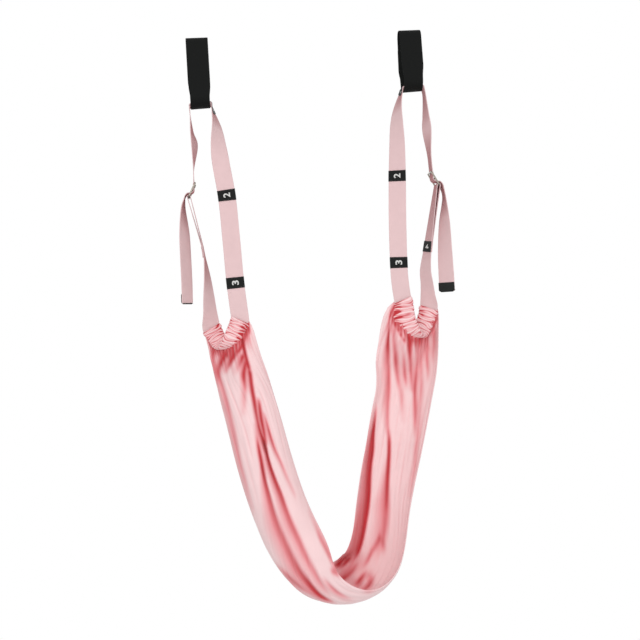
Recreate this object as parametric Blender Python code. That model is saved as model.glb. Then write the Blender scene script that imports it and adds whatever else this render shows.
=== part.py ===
"""Yoga trapeze swing: a cloth hammock on two webbing straps that hang in two webbing loops.

Metres, +Z up, +X to the user's right of the photograph, -Y towards its viewer. The origin lies on the
axis of the bar that the swing hangs on, midway between its two hanger loops.
"""

import math

import bmesh
import bpy
import numpy as np

# Bar and black hanger loops
BAR_RADIUS = 0.016
BAR_CLEARANCE = 0.0005
HANGER_SPACING = 0.488
HANGER_WIDTH = 0.050
HANGER_EYE_WIDTH = 0.044
HANGER_THICKNESS = 0.0020
HANGER_HEIGHT = {"left": 0.161, "right": 0.142}
HANGER_NECK = 0.030
LAP_LENGTH = 0.060
LAP_FROM_BAR = 0.022

# Pink strap
STRAP_WIDTH = 0.040
STRAP_THICKNESS = 0.0018
CROWN_RADIUS = 0.0240
CROWN_CLEARANCE = 0.0008
CROWN_SIDE_GAP = 0.0022
CROWN_BEND = 0.0042
LEG_FLATTENS = 0.040
SEAT_GAP = 0.0003
SAME_LINE = 0.0001

# Woven labels and bar tacks
LABEL_LENGTH = 0.025
LABEL_OVERHANG = 0.0005
LABEL_THICKNESS = 0.0008
LABEL_PITCH = 0.200
LABEL_FIRST = {"left": 0.030, "right": 0.022}
LABEL_COUNT = 3
TACK_LENGTH = 0.005
TACK_THICKNESS = 0.0009
TACK_INSET = 0.004
TACK_WIDTH_SHARE = 0.84
SEAM_WIDTH_SHARE = 0.90
SEAM_INSET = 0.0025
END_LABEL_INSET = 0.003

# Three-bar buckle
BUCKLE_DROP = 0.3275
BUCKLE_OUT = {"left": 0.2737, "right": 0.2818}
BUCKLE_LEAN = math.radians(28)
BUCKLE_PITCH = 0.017
BUCKLE_BAR = 0.0040
BUCKLE_PLATE = 0.0034
BUCKLE_SLOT_SPARE = 0.0010
BUCKLE_RAIL = 0.0040
BUCKLE_CORNER = 0.0055
BUCKLE_SLOT_CORNER = 0.0012
BUCKLE_EDGE = 0.0007
WEAVE_CLEARANCE = 0.0006

# Sewn loop below the buckle, and the free tail
SEWN_DROP = {"left": 0.4517, "right": 0.4659}
SEWN_OUT = {"left": 0.2575, "right": 0.2643}
SEWN_LENGTH = 0.028
TAIL_END_GAP = 0.0005
TAIL_DROP = {"left": 0.583, "right": 0.588}
TAIL_OUT = {"left": 0.2990, "right": 0.2985}
TIP_LENGTH = 0.025
TIP_BACK = 0.004
TIP_THICKNESS = 0.0009

# Channel: the sleeve at each end of the cloth
AXIS_DROP = 0.662
U_RADIUS = 0.024
FRONT_MOUTH_OUT = {"left": 0.182, "right": 0.190}
FRONT_MOUTH_RISE = {"left": 0.035, "right": 0.060}
REAR_MOUTH_OUT = {"left": 0.249, "right": 0.259}
REAR_MOUTH_RISE = {"left": 0.021, "right": 0.038}
BORE_SPARE = 0.0005
CHANNEL_HALF_WIDTH = 0.0222
CHANNEL_HALF_DEPTH = 0.0048
RUCHE_DEPTH = 0.0014
RUCHE_COUNT = 9
SLEEVE_SHARES = (-1.0, -0.6, 0.0, 0.6, 1.0)
SLEEVE_ROUND_SHARE = 0.42

# Hammock cloth
CLOTH_THICKNESS = 0.0025
CLOTH_CLEARANCE = 0.0006
HAMMOCK_DROP = 0.629
HAMMOCK_HALF_SPAN = 0.216
CLOTH_WIDTH = 0.122
CLOTH_DEPTH_SHIFT = 0.0004
TOP_INSET = 0.003
TOP_STRAIGHT = {"left": 0.034, "right": 0.030}
TOP_BLEND = {"left": 0.110, "right": 0.075}
LIP_EARLY_SHARE = 0.95
TROUGH_ANGLE = math.radians(80)
FOLD_DEPTH = 0.0095
FOLD_WIDTH_SHARE = 0.12
SLOPE_REACH_SHARE = 0.10
CLOTH_COLUMNS = 23

# Each strand runs between two ends; a station is its share of the way, its shift aside in strap widths
# away from the middle of the swing, and its turn as a share of a quarter turn, 0 facing the front.
FRONT_SHARES = {
    "left": (
        (0.082, -0.14, 0.67), (0.175, -0.10, 0.34), (0.270, -0.10, 0.07), (0.421, -0.18, 0.0),
        (0.622, -0.10, 0.0), (0.828, 0.0, 0.0),
    ),
    "right": (
        (0.075, -0.24, 0.78), (0.153, -0.30, 0.57), (0.251, -0.28, 0.41), (0.406, -0.28, 0.24),
        (0.613, -0.28, 0.09), (0.831, -0.22, 0.0), (0.927, -0.13, 0.0),
    ),
}
UPPER_REAR_SHARES = {
    "left": ((0.116, -0.02, 1.0), (0.300, -0.06, 0.90), (0.480, -0.16, 0.66), (0.794, -0.03, 1.0)),
    "right": ((0.086, 0.04, 1.0), (0.300, 0.02, 0.85), (0.480, 0.0, 0.66), (0.775, 0.0, 0.98)),
}
LOWER_REAR_SHARES = {
    "left": ((0.300, -0.04, 0.25), (0.600, -0.08, 0.45), (0.840, -0.05, 0.90)),
    "right": ((0.297, -0.10, 0.22), (0.557, -0.20, 0.42), (0.810, -0.10, 0.76)),
}
SEWN_TURN_SHARE = {"left": 0.98, "right": 0.84}
TAIL_SHARES = {
    "left": ((0.110, 0.09, 1.0), (0.330, 0.06, 0.85), (0.560, 0.03, 0.62), (0.785, 0.0, 0.50)),
    "right": ((0.112, 0.11, 1.0), (0.350, 0.05, 0.70), (0.620, 0.0, 0.38), (0.850, 0.0, 0.18)),
}
TAIL_TIP_TURN_SHARE = {"left": 0.46, "right": 0.12}

# The strap's weave through the buckle: shares of the pitch along it and of the wrap radius across it.
WEAVE_SHARES = (
    (-0.38, -0.17), (-0.19, -0.80), (0.0, -1.0), (0.26, -0.74),
    (0.50, 0.0), (0.74, 0.74), (1.0, 1.0),
)
TAIL_END_SHARES = (-0.482, 0.63)
TAIL_ROOT_SHARES = ((-0.70, 1.93), (-1.03, 2.42), (-1.36, 2.34))

# The cloth's middle line from the left channel to the right one: place as shares of the half span and
# of the drop, width and sag as shares of the cloth's width, and turn as a share of a quarter turn.
CLOTH_SHARES = (
    (-0.929, 0.036, 0.98, 0.34, -0.70),
    (-0.885, 0.150, 1.00, 0.34, -0.82),
    (-0.785, 0.300, 1.03, 0.36, -0.90),
    (-0.680, 0.477, 1.05, 0.38, -0.90),
    (-0.587, 0.617, 1.08, 0.44, -0.84),
    (-0.502, 0.737, 1.20, 0.54, -0.66),
    (-0.395, 0.829, 1.36, 0.62, -0.42),
    (-0.243, 0.893, 1.50, 0.66, -0.20),
    (-0.065, 0.926, 1.55, 0.68, -0.04),
    (0.100, 0.930, 1.55, 0.66, 0.10),
    (0.262, 0.915, 1.42, 0.62, 0.30),
    (0.400, 0.880, 1.24, 0.54, 0.54),
    (0.480, 0.820, 1.08, 0.48, 0.72),
    (0.525, 0.745, 1.00, 0.44, 0.82),
    (0.560, 0.655, 1.00, 0.42, 0.88),
    (0.622, 0.555, 1.02, 0.40, 0.90),
    (0.725, 0.418, 1.06, 0.38, 0.90),
    (0.830, 0.258, 1.11, 0.36, 0.88),
    (0.912, 0.120, 1.18, 0.34, 0.82),
    (0.945, 0.030, 1.20, 0.34, 0.75),
)
# Where the rows lie, as shares of the middle line's length
ROW_SHARES = (
    0.0, 0.020, 0.045, 0.075, 0.115, 0.170, 0.230, 0.290, 0.345, 0.390, 0.425, 0.455, 0.485,
    0.515, 0.545, 0.575, 0.605, 0.640, 0.685, 0.740, 0.800, 0.860, 0.910, 0.950, 0.978, 1.0,
)
# How far the cloth's top edge lies out from the middle of the channel, in its half widths, in even
# steps from the front mouth to the rear one
TOP_SHIFT_SHARES = {
    "left": (-1.20, -1.0, -0.55, 0.0, 0.55, 0.85, 0.80),
    "right": (-1.25, -1.1, -0.60, 0.0, 0.60, 1.10, 1.20),
}
# A fold's places across the cloth (-1 front lip to 1 rear lip) and its depths, both at five even steps
# along it. A positive depth runs into the trough, a negative one out of it.
FOLD_SHARES = (
    ((-0.12, -0.18, -0.42, 0.05, 0.12), (0.8, 1.1, 0.5, -1.1, -0.8)),
    ((0.22, 0.34, -0.02, -0.50, -0.42), (0.9, 1.1, 0.7, -0.6, -0.9)),
    ((-0.55, -0.62, -0.75, -0.85, -0.80), (0.7, 0.5, 0.3, -0.6, -0.5)),
    ((0.62, 0.74, 0.45, 0.42, 0.52), (0.8, 0.5, 0.6, -0.9, -0.8)),
    ((0.42, 0.05, 0.22, 0.80, 0.80), (-0.6, -0.6, -0.3, -0.5, -0.5)),
)

SIDES = {"left": -1.0, "right": 1.0}
QUARTER = math.pi / 2
ACROSS = 5
HANGER_ACROSS = 3
BAR_TURN_STEPS = 10
EYE_TURN_STEPS = 12
HANGER_RUN_STEPS = 5
LAP_STEPS = 4
TACK_STEPS = 2
CROWN_TURN_STEPS = 3
U_STEPS = 10
FRONT_RUN_STEPS = 3
REAR_RUN_STEPS = 2
LOOP_TURN_STEPS = 6
FRONT_SPAN_STEPS = 2
REAR_SPAN_STEPS = 3
PLY_SHARES = (0.25, 0.5, 0.75)
CORNER_STEPS = 3
UP = np.array((0.0, 0.0, 1.0))

# Values that follow from the sizes above
HANGER_OUT = HANGER_SPACING / 2
HANGER_TOP = BAR_RADIUS + BAR_CLEARANCE + HANGER_THICKNESS
EYE_INNER_RADIUS = CROWN_RADIUS + STRAP_THICKNESS / 2 + CROWN_CLEARANCE
EYE_DROP = {
    side: HANGER_HEIGHT[side] - HANGER_TOP - EYE_INNER_RADIUS - HANGER_THICKNESS for side in SIDES
}
EYE_MEAN_DROP = (EYE_DROP["left"] + EYE_DROP["right"]) / 2
EYE_SLOPE = (EYE_DROP["left"] - EYE_DROP["right"]) / HANGER_SPACING
LEG_OUT = HANGER_EYE_WIDTH / 2 + CROWN_SIDE_GAP + STRAP_THICKNESS / 2
WRAP_RADIUS = BUCKLE_BAR / 2 + WEAVE_CLEARANCE + STRAP_THICKNESS / 2
PLY_STEP = STRAP_THICKNESS + SEAT_GAP
TACK_REACH = (-TACK_INSET - TACK_LENGTH, -TACK_INSET)
END_LABEL_REACH = (-END_LABEL_INSET - LABEL_LENGTH, -END_LABEL_INSET)
AXIS_HEIGHT = -AXIS_DROP
TOP_RADIUS = (
    U_RADIUS + CHANNEL_HALF_DEPTH + RUCHE_DEPTH + CLOTH_CLEARANCE + CLOTH_THICKNESS / 2
)


def material(name, colour, roughness, metallic=0.0):
    """A plain finish for one kind of piece."""
    made = bpy.data.materials.get(name)
    if made is None:
        made = bpy.data.materials.new(name)
        made.use_nodes = True
        shader = made.node_tree.nodes["Principled BSDF"]
        shader.inputs["Base Color"].default_value = (*colour, 1.0)
        shader.inputs["Roughness"].default_value = roughness
        shader.inputs["Metallic"].default_value = metallic
    return made


def black_webbing():
    return material("black_webbing", (0.009, 0.011, 0.010), 0.75)


def pink_webbing():
    return material("pink_webbing", (0.70, 0.51, 0.52), 0.80)


def black_label():
    return material("black_label", (0.010, 0.011, 0.010), 0.60)


def bright_steel():
    return material("bright_steel", (0.42, 0.38, 0.34), 0.35, 1.0)


def pink_cloth():
    return material("pink_cloth", (0.78, 0.47, 0.48), 0.90)


def dark_thread():
    return material("dark_thread", (0.020, 0.018, 0.018), 0.85)


def add_object(name, mesh, finish):
    """Puts a finished mesh in the scene under the sub-part's name."""
    made = bpy.data.objects.new(name, mesh)
    bpy.context.scene.collection.objects.link(made)
    mesh.materials.append(finish)
    return made


def closed_mesh(name, points, faces):
    """A mesh whose faces all point out of the solid, shaded smooth."""
    mesh = bpy.data.meshes.new(name)
    mesh.from_pydata([tuple(point) for point in points], [], faces)
    work = bmesh.new()
    work.from_mesh(mesh)
    bmesh.ops.recalc_face_normals(work, faces=work.faces)
    work.to_mesh(mesh)
    work.free()
    mesh.shade_smooth()
    return mesh


def unit(vector):
    """The vector's direction, one long."""
    return vector / np.linalg.norm(vector)


def row_normals(rows, looped):
    """Unit normals of a grid of points: along the rows' run, crossed with across them."""
    if looped:
        run = np.roll(rows, -1, axis=0) - np.roll(rows, 1, axis=0)
    else:
        run = np.gradient(rows, axis=0)
    across = np.gradient(rows, axis=1)
    normals = np.cross(run, across)
    return normals / np.linalg.norm(normals, axis=2, keepdims=True)


def sheet_solid(name, rows, thickness, looped=False, lift=0.0, normals=None):
    """A closed solid of even thickness round a grid of points, lifted off it along its normals."""
    rows = np.asarray(rows, float)
    if normals is None:
        normals = row_normals(rows, looped)
    count, wide = rows.shape[:2]
    outer = rows + normals * (lift + thickness / 2)
    inner = rows + normals * (lift - thickness / 2)
    points = np.concatenate((outer.reshape(-1, 3), inner.reshape(-1, 3)))
    below = count * wide
    steps = count if looped else count - 1
    faces = []
    for i in range(steps):
        near, far = i * wide, (i + 1) % count * wide
        for j in range(wide - 1):
            faces.append((near + j, near + j + 1, far + j + 1, far + j))
            faces.append((below + near + j, below + far + j, below + far + j + 1, below + near + j + 1))
        last = wide - 1
        faces.append((near, far, below + far, below + near))
        faces.append((near + last, below + near + last, below + far + last, far + last))
    if not looped:
        end = (count - 1) * wide
        for j in range(wide - 1):
            faces.append((j, below + j, below + j + 1, j + 1))
            faces.append((end + j, end + j + 1, below + end + j + 1, below + end + j))
    return closed_mesh(name, points, faces)


def smooth(stations, steps):
    """Points on a Catmull-Rom curve through the stations, with the same number of steps in each span."""
    known = np.asarray(stations, float)
    padded = np.concatenate((2 * known[:1] - known[1:2], known, 2 * known[-1:] - known[-2:-1]))
    made = []
    for i in range(len(known) - 1):
        before, start, end, after = padded[i : i + 4]
        for k in range(steps):
            t = k / steps
            made.append(
                0.5
                * (
                    2 * start
                    + (end - before) * t
                    + (2 * before - 5 * start + 4 * end - after) * t**2
                    + (3 * start - before - 3 * end + after) * t**3
                )
            )
    made.append(known[-1])
    return made


def place(side, out, depth, height):
    """A point that lies so far out from the middle of the swing, on the left or on the right."""
    return np.array((SIDES[side] * out, depth, height))


def knot(out, depth, height, turn, cup=0.0):
    """One cross line of a strap: its middle, its turn about the vertical and how far it is cupped."""
    return np.array((out, depth, height, turn, cup))


def strand(start, end, shares, steps):
    """Knots along a strand between two knots, both ends included."""
    stations = [start]
    for along, aside, turn in shares:
        station = start + (end - start) * along
        station[0] += aside * STRAP_WIDTH
        station[3] = turn * QUARTER
        station[4] = start[4] + (end[4] - start[4]) * min(1.0, along / cup_share(start, end))
        stations.append(station)
    stations.append(end)
    return smooth(stations, steps)


def cup_share(start, end):
    """The share of a strand's drop over which a cupped strap flattens."""
    return min(1.0, LEG_FLATTENS / abs(end[2] - start[2]))


def cross_line(side, point, run):
    """The points of one cross line of a strap, at its middle point and square to its run."""
    turn, cup = point[3], point[4]
    mirror = SIDES[side]
    hint = np.array((-mirror * math.cos(turn), math.sin(turn), 0.0))
    along = unit(run)
    wide = unit(hint - along * np.dot(hint, along))
    middle = place(side, *point[:3])
    line = []
    for j in range(ACROSS):
        share = j / (ACROSS - 1) - 0.5
        angle = share * STRAP_WIDTH / CROWN_RADIUS
        flat = share * STRAP_WIDTH
        cupped = CROWN_RADIUS * math.sin(angle)
        lift = CROWN_RADIUS * (1 - math.cos(angle)) * cup
        line.append(middle + wide * (flat + (cupped - flat) * cup) + UP * lift)
    return line


def strap_rows(side, knots):
    """The grid of points of a strap that follows these knots."""
    middles = np.array([place(side, *point[:3]) for point in knots])
    runs = np.gradient(middles, axis=0)
    return np.array([cross_line(side, p, r) for p, r in zip(knots, runs)])


def buckle_frame(side):
    """The buckle's centre (out, height) and its two unit directions: along it and across it."""
    centre = np.array((BUCKLE_OUT[side], -BUCKLE_DROP))
    along = np.array((-math.sin(BUCKLE_LEAN), math.cos(BUCKLE_LEAN)))
    across = np.array((math.cos(BUCKLE_LEAN), math.sin(BUCKLE_LEAN)))
    return centre, along, across


def in_buckle(side, along_share, across_share):
    """A place in the buckle, in shares of its pitch and of the strap's wrap radius."""
    centre, along, across = buckle_frame(side)
    return centre + along * along_share * BUCKLE_PITCH + across * across_share * WRAP_RADIUS


def eye_height(out, side):
    """Height of the line that both hanger eyes turn on."""
    return -EYE_MEAN_DROP + SIDES[side] * out * EYE_SLOPE


def weave_knots(side):
    """From the strap's end in the buckle's lower slot to the outside of its top bar."""
    tail_end = in_buckle(side, *TAIL_END_SHARES)
    first = in_buckle(side, *WEAVE_SHARES[0])
    start = tail_end + unit(first - tail_end) * TAIL_END_GAP
    places = [start] + [in_buckle(side, *shares) for shares in WEAVE_SHARES]
    return [knot(out, 0.0, height, QUARTER) for out, height in places]


def crown_knots(side):
    """Over the black loop's bottom: up the outer leg's bend, across the eye and down the inner bend."""
    turns = [QUARTER * k / CROWN_TURN_STEPS for k in range(CROWN_TURN_STEPS + 1)]
    reach = LEG_OUT - CROWN_BEND
    rising = [
        (reach + CROWN_BEND * math.cos(t), -CROWN_RADIUS - CROWN_BEND * (1 - math.sin(t))) for t in turns
    ]
    bends = rising + [(-out, drop) for out, drop in reversed(rising)]
    return [
        knot(HANGER_OUT + out, 0.0, eye_height(HANGER_OUT + out, side) + drop, QUARTER, 1.0)
        for out, drop in bends
    ]


def channel_runs(side):
    """The lengths of the channel's front run, of its round bottom and of its rear run."""
    return FRONT_MOUTH_RISE[side], math.pi * U_RADIUS, REAR_MOUTH_RISE[side]


def channel_spot(side, along, radius):
    """Out, depth and height of a place on the channel's U, so far from the U's axis."""
    front_run, arc, rear_run = channel_runs(side)
    front_out, rear_out = FRONT_MOUTH_OUT[side], REAR_MOUTH_OUT[side]
    out = front_out + (rear_out - front_out) * along / (front_run + arc + rear_run)
    angle = min(math.pi, max(0.0, (along - front_run) / U_RADIUS))
    rise = max(0.0, front_run - along) + max(0.0, along - front_run - arc)
    return out, -radius * math.cos(angle), AXIS_HEIGHT - radius * math.sin(angle) + rise


def channel_knots(side):
    """The strap's U inside the channel: down at the front, round below the axis, up at the rear."""
    front_run, arc, rear_run = channel_runs(side)
    bottom = front_run + np.linspace(0.0, arc, U_STEPS + 1)
    down = np.linspace(0.0, front_run, FRONT_RUN_STEPS + 1)[:-1]
    up = front_run + arc + np.linspace(0.0, rear_run, REAR_RUN_STEPS + 1)[1:]
    return [knot(*channel_spot(side, along, U_RADIUS), 0.0) for along in (*down, *bottom, *up)]


def sewn_knot(side):
    """Where the strap's two plies part below the buckle."""
    rear_drop = AXIS_DROP - REAR_MOUTH_RISE[side]
    share = (rear_drop - SEWN_DROP[side]) / (rear_drop - BUCKLE_DROP)
    depth = U_RADIUS * (1 - share)
    return knot(SEWN_OUT[side], depth, -SEWN_DROP[side], SEWN_TURN_SHARE[side] * QUARTER)


def loop_knots(side):
    """Up the inner ply, over the buckle's bottom bar, and down the outer ply to the sewn joint."""
    sewn = sewn_knot(side)
    bar = in_buckle(side, -1.0, 0.0)
    rise = unit(bar - np.array((sewn[0], sewn[2])))
    inner = np.array((-rise[1], rise[0]))
    made = []
    for k in range(LOOP_TURN_STEPS + 1):
        angle = math.pi * k / LOOP_TURN_STEPS
        spot = bar + WRAP_RADIUS * (inner * math.cos(angle) + rise * math.sin(angle))
        made.append(knot(spot[0], 0.0, spot[1], QUARTER))
    return made


def strap_knots(side):
    """The whole strap in order, with the places in the list where each stretch starts."""
    weave = weave_knots(side)
    crown = crown_knots(side)
    channel = channel_knots(side)
    loop = loop_knots(side)
    sewn = sewn_knot(side)
    upper = strand(crown[0], weave[-1], UPPER_REAR_SHARES[side], REAR_SPAN_STEPS)
    front = strand(crown[-1], channel[0], FRONT_SHARES[side], FRONT_SPAN_STEPS)
    lower = strand(channel[-1], sewn, LOWER_REAR_SHARES[side], REAR_SPAN_STEPS)
    inner_ply = smooth((sewn, (sewn + loop[0]) / 2, loop[0]), FRONT_SPAN_STEPS)
    knots = weave[:-1] + upper[::-1] + crown[1:-1] + front + channel[1:] + lower[1:] + inner_ply[1:-1]
    bend_at = len(weave) - 1 + len(upper) + CROWN_TURN_STEPS
    channel_at = len(weave) - 1 + len(upper) + len(crown) - 2 + len(front) - 1
    sewn_at = channel_at + len(channel) + len(lower) - 2
    return knots + loop, {"inner_bend": bend_at, "channel": channel_at, "sewn": sewn_at}


def build_strap(side):
    """The strap as one solid: its sewn end ply is joined to the strand that it lies on."""
    knots, marks = strap_knots(side)
    rows, marks = with_seams(side, strap_rows(side, knots), marks)
    joint, normals = stretch(rows, marks["sewn"], -SEWN_LENGTH, 0.0)
    joint, normals = joint[::-1], normals[::-1]
    sign = math.copysign(1.0, SIDES[side] * float(normals[:, :, 0].mean()))
    lifted = joint + normals * PLY_STEP * sign
    plies = [rows[-1] * (1 - share) + lifted[0] * share for share in PLY_SHARES]
    name = f"{side}_strap"
    whole = np.concatenate((rows, plies, lifted))
    whole_normals = row_normals(whole, False)
    whole_normals[-len(lifted) :] = -normals
    mesh = sheet_solid(name, whole, STRAP_THICKNESS, normals=whole_normals)
    strap = add_object(name, mesh, pink_webbing())
    core, core_normals = stretch(rows, marks["sewn"], SEAM_INSET - SEWN_LENGTH, -SEAM_INSET)
    core = narrowed(core, SEAM_WIDTH_SHARE)
    seam = sheet_solid("seam", core, PLY_STEP, lift=sign * PLY_STEP / 2, normals=core_normals)
    join(strap, add_object("seam", seam, pink_webbing()))
    return rows, marks, sign


def narrowed(rows, share):
    """The same rows, drawn in to a share of their width."""
    middle = rows.mean(axis=1, keepdims=True)
    return middle + (rows - middle) * share


def join(target, tool):
    """Joins another solid to an object and deletes the other one."""
    change = target.modifiers.new("Join", "BOOLEAN")
    change.operation = "UNION"
    change.use_self = True
    change.object = tool
    bpy.context.view_layer.update()
    evaluated = target.evaluated_get(bpy.context.evaluated_depsgraph_get())
    mesh = bpy.data.meshes.new_from_object(evaluated)
    target.modifiers.remove(change)
    target.data = mesh
    bpy.data.objects.remove(tool)


def at_length(rows, start, length):
    """The cross line that lies so far along the middle of the rows from one of them."""
    way = 1 if length >= 0 else -1
    left_over = abs(length)
    i = start
    while True:
        step = np.linalg.norm(rows[i + way].mean(axis=0) - rows[i].mean(axis=0))
        if step >= left_over:
            return rows[i] + (rows[i + way] - rows[i]) * left_over / step
        left_over -= step
        i += way


def lengths_along(rows):
    """The length along the middle of a strap at which each of its rows lies."""
    steps = np.linalg.norm(np.diff(rows.mean(axis=1), axis=0), axis=1)
    return np.concatenate(((0.0,), np.cumsum(steps)))


def stretch(rows, start, near, far):
    """The cross lines of a strap between two lengths along it from one of its rows, and their normals."""
    lengths = lengths_along(rows)
    lengths -= lengths[start]
    normals = row_normals(rows, False)
    between = [at for at in lengths if near + SAME_LINE < at < far - SAME_LINE]
    picked = [near, *between, far]
    lines = [[blended(lengths, grid, at) for at in picked] for grid in (rows, normals)]
    found = np.array(lines[1])
    return np.array(lines[0]), found / np.linalg.norm(found, axis=2, keepdims=True)


def with_seams(side, rows, marks):
    """The strap's grid with a row of its own at each end of what is sewn on it."""
    lengths = lengths_along(rows)
    wanted = [lengths[marks["inner_bend"]] + at for pair in label_reaches(side) for at in pair]
    wanted += [lengths[marks["sewn"]] + at for at in (*TACK_REACH, *END_LABEL_REACH, -SEWN_LENGTH)]
    fresh = [at for at in wanted if np.abs(lengths - at).min() > SAME_LINE]
    merged = np.array(sorted((*lengths, *fresh)))
    grid = np.array([blended(lengths, rows, at) for at in merged])
    moved = {name: int(np.searchsorted(merged, lengths[i])) for name, i in marks.items()}
    return grid, moved


def label_reaches(side):
    """The two ends of each label, as lengths from the row where the crown's inner bend starts."""
    first = LABEL_FIRST[side] - (LEG_OUT - CROWN_BEND)
    middles = [first + LABEL_PITCH * number for number in range(LABEL_COUNT)]
    return [(middle - LABEL_LENGTH / 2, middle + LABEL_LENGTH / 2) for middle in middles]


def blended(lengths, grid, at):
    """The row of a grid at a length, between the two rows that lie round it."""
    i = int(np.clip(np.searchsorted(lengths, at) - 1, 0, len(lengths) - 2))
    share = (at - lengths[i]) / (lengths[i + 1] - lengths[i])
    return grid[i] * (1 - share) + grid[i + 1] * share


def build_labels(side, rows, marks):
    """Black woven labels on the strap's outer face, at even lengths from the top of the crown."""
    for number, (near, far) in enumerate(label_reaches(side)):
        lines, normals = stretch(rows, marks["inner_bend"], near, far)
        sign = inward_sign(side, normals)
        lift = sign * (STRAP_THICKNESS / 2 + SEAT_GAP + LABEL_THICKNESS / 2)
        name = f"{side}_label_{number + 1}"
        mesh = sheet_solid(name, label_width(lines), LABEL_THICKNESS, lift=lift, normals=normals)
        add_object(name, mesh, black_label())


def label_width(lines):
    """The same cross lines, a little longer than the strap is wide."""
    return narrowed(lines, 1 + 2 * LABEL_OVERHANG / STRAP_WIDTH)


def inward_sign(side, normals):
    """The sign of the face that looks to the middle of the swing or to the front."""
    towards = np.array((-SIDES[side], -1.0, 0.3))
    return math.copysign(1.0, float(np.dot(normals.mean(axis=(0, 1)), towards)))


def build_sewn_joint(side, rows, marks, sign):
    """The bar tack across the sewn joint, and the right strap's extra label behind it."""
    lines, normals = stretch(rows, marks["sewn"], *TACK_REACH)
    lift = sign * (PLY_STEP + STRAP_THICKNESS / 2 + SEAT_GAP + TACK_THICKNESS / 2)
    name = f"{side}_strap_bartack"
    mesh = sheet_solid(name, narrowed(lines, TACK_WIDTH_SHARE), TACK_THICKNESS, lift=lift, normals=normals)
    add_object(name, mesh, dark_thread())
    if side == "right":
        lines, normals = stretch(rows, marks["sewn"], *END_LABEL_REACH)
        lift = -sign * (STRAP_THICKNESS / 2 + SEAT_GAP + LABEL_THICKNESS / 2)
        name = f"{side}_label_{LABEL_COUNT + 1}"
        mesh = sheet_solid(name, label_width(lines), LABEL_THICKNESS, lift=lift, normals=normals)
        add_object(name, mesh, black_label())


def round_outline(work, middle, length, width, corner):
    """Adds the edges of a rectangle with round corners, which lies on Z = 0 round a place on X."""
    points = []
    for sx, sy, first in ((1, 1, 0), (-1, 1, 1), (-1, -1, 2), (1, -1, 3)):
        for k in range(CORNER_STEPS + 1):
            angle = QUARTER * (first + k / CORNER_STEPS)
            x = middle + sx * (length / 2 - corner) + corner * math.cos(angle)
            y = sy * (width / 2 - corner) + corner * math.sin(angle)
            points.append(work.verts.new((x, y, 0.0)))
    for start, end in zip(points, points[1:] + points[:1]):
        work.edges.new((start, end))


def build_buckle(side):
    """The steel plate with two slots, leaning with the strap that runs through it."""
    name = f"{side}_buckle"
    buckle = add_object(name, buckle_mesh(), bright_steel())
    centre, along, across = buckle_frame(side)
    mirror = SIDES[side]
    buckle.location = (mirror * centre[0], 0.0, centre[1])
    buckle.rotation_euler.y = math.atan2(-along[1], mirror * along[0])


def buckle_mesh():
    """The buckle lying in X and Y: bars across Y, its two slots side by side along X."""
    made = bpy.data.meshes.get("buckle")
    if made is not None:
        return made
    opening = STRAP_WIDTH + 2 * BUCKLE_SLOT_SPARE
    length = 2 * BUCKLE_PITCH + BUCKLE_BAR
    slot = BUCKLE_PITCH - BUCKLE_BAR
    work = bmesh.new()
    round_outline(work, 0.0, length, opening + 2 * BUCKLE_RAIL, BUCKLE_CORNER)
    for way in (-1, 1):
        round_outline(work, way * BUCKLE_PITCH / 2, slot, opening, BUCKLE_SLOT_CORNER)
    bmesh.ops.triangle_fill(work, edges=work.edges[:], use_beauty=True, use_dissolve=False)
    swept = bmesh.ops.extrude_face_region(work, geom=work.faces[:])["geom"]
    raised = [item for item in swept if isinstance(item, bmesh.types.BMVert)]
    bmesh.ops.translate(work, verts=raised, vec=(0.0, 0.0, BUCKLE_PLATE))
    bmesh.ops.translate(work, verts=work.verts[:], vec=(0.0, 0.0, -BUCKLE_PLATE / 2))
    bmesh.ops.recalc_face_normals(work, faces=work.faces[:])
    rims = [
        edge
        for edge in work.edges
        if abs(edge.verts[0].co.z - edge.verts[1].co.z) < BUCKLE_PLATE / 2
        and edge.calc_face_angle() > math.radians(60)
    ]
    bmesh.ops.bevel(work, geom=rims, offset=BUCKLE_EDGE, segments=1, affect="EDGES")
    made = bpy.data.meshes.new("buckle")
    work.to_mesh(made)
    work.free()
    made.shade_smooth()
    made.set_sharp_from_angle(angle=math.radians(40))
    return made


def build_tail(side):
    """The strap's free end: out of the buckle's lower slot and down, with its black end tape."""
    places = [in_buckle(side, *shares) for shares in (TAIL_END_SHARES, *TAIL_ROOT_SHARES)]
    top = [knot(out, 0.0, height, QUARTER) for out, height in places]
    turn = TAIL_TIP_TURN_SHARE[side] * QUARTER
    end = knot(TAIL_OUT[side], 0.0, -TAIL_DROP[side], turn)
    hanging = strand(top[-1], end, TAIL_SHARES[side], REAR_SPAN_STEPS)
    rows = strap_rows(side, top[:-1] + hanging)
    name = f"{side}_tail"
    add_object(name, sheet_solid(name, rows, STRAP_THICKNESS), pink_webbing())
    build_tail_tip(side, rows)


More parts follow.
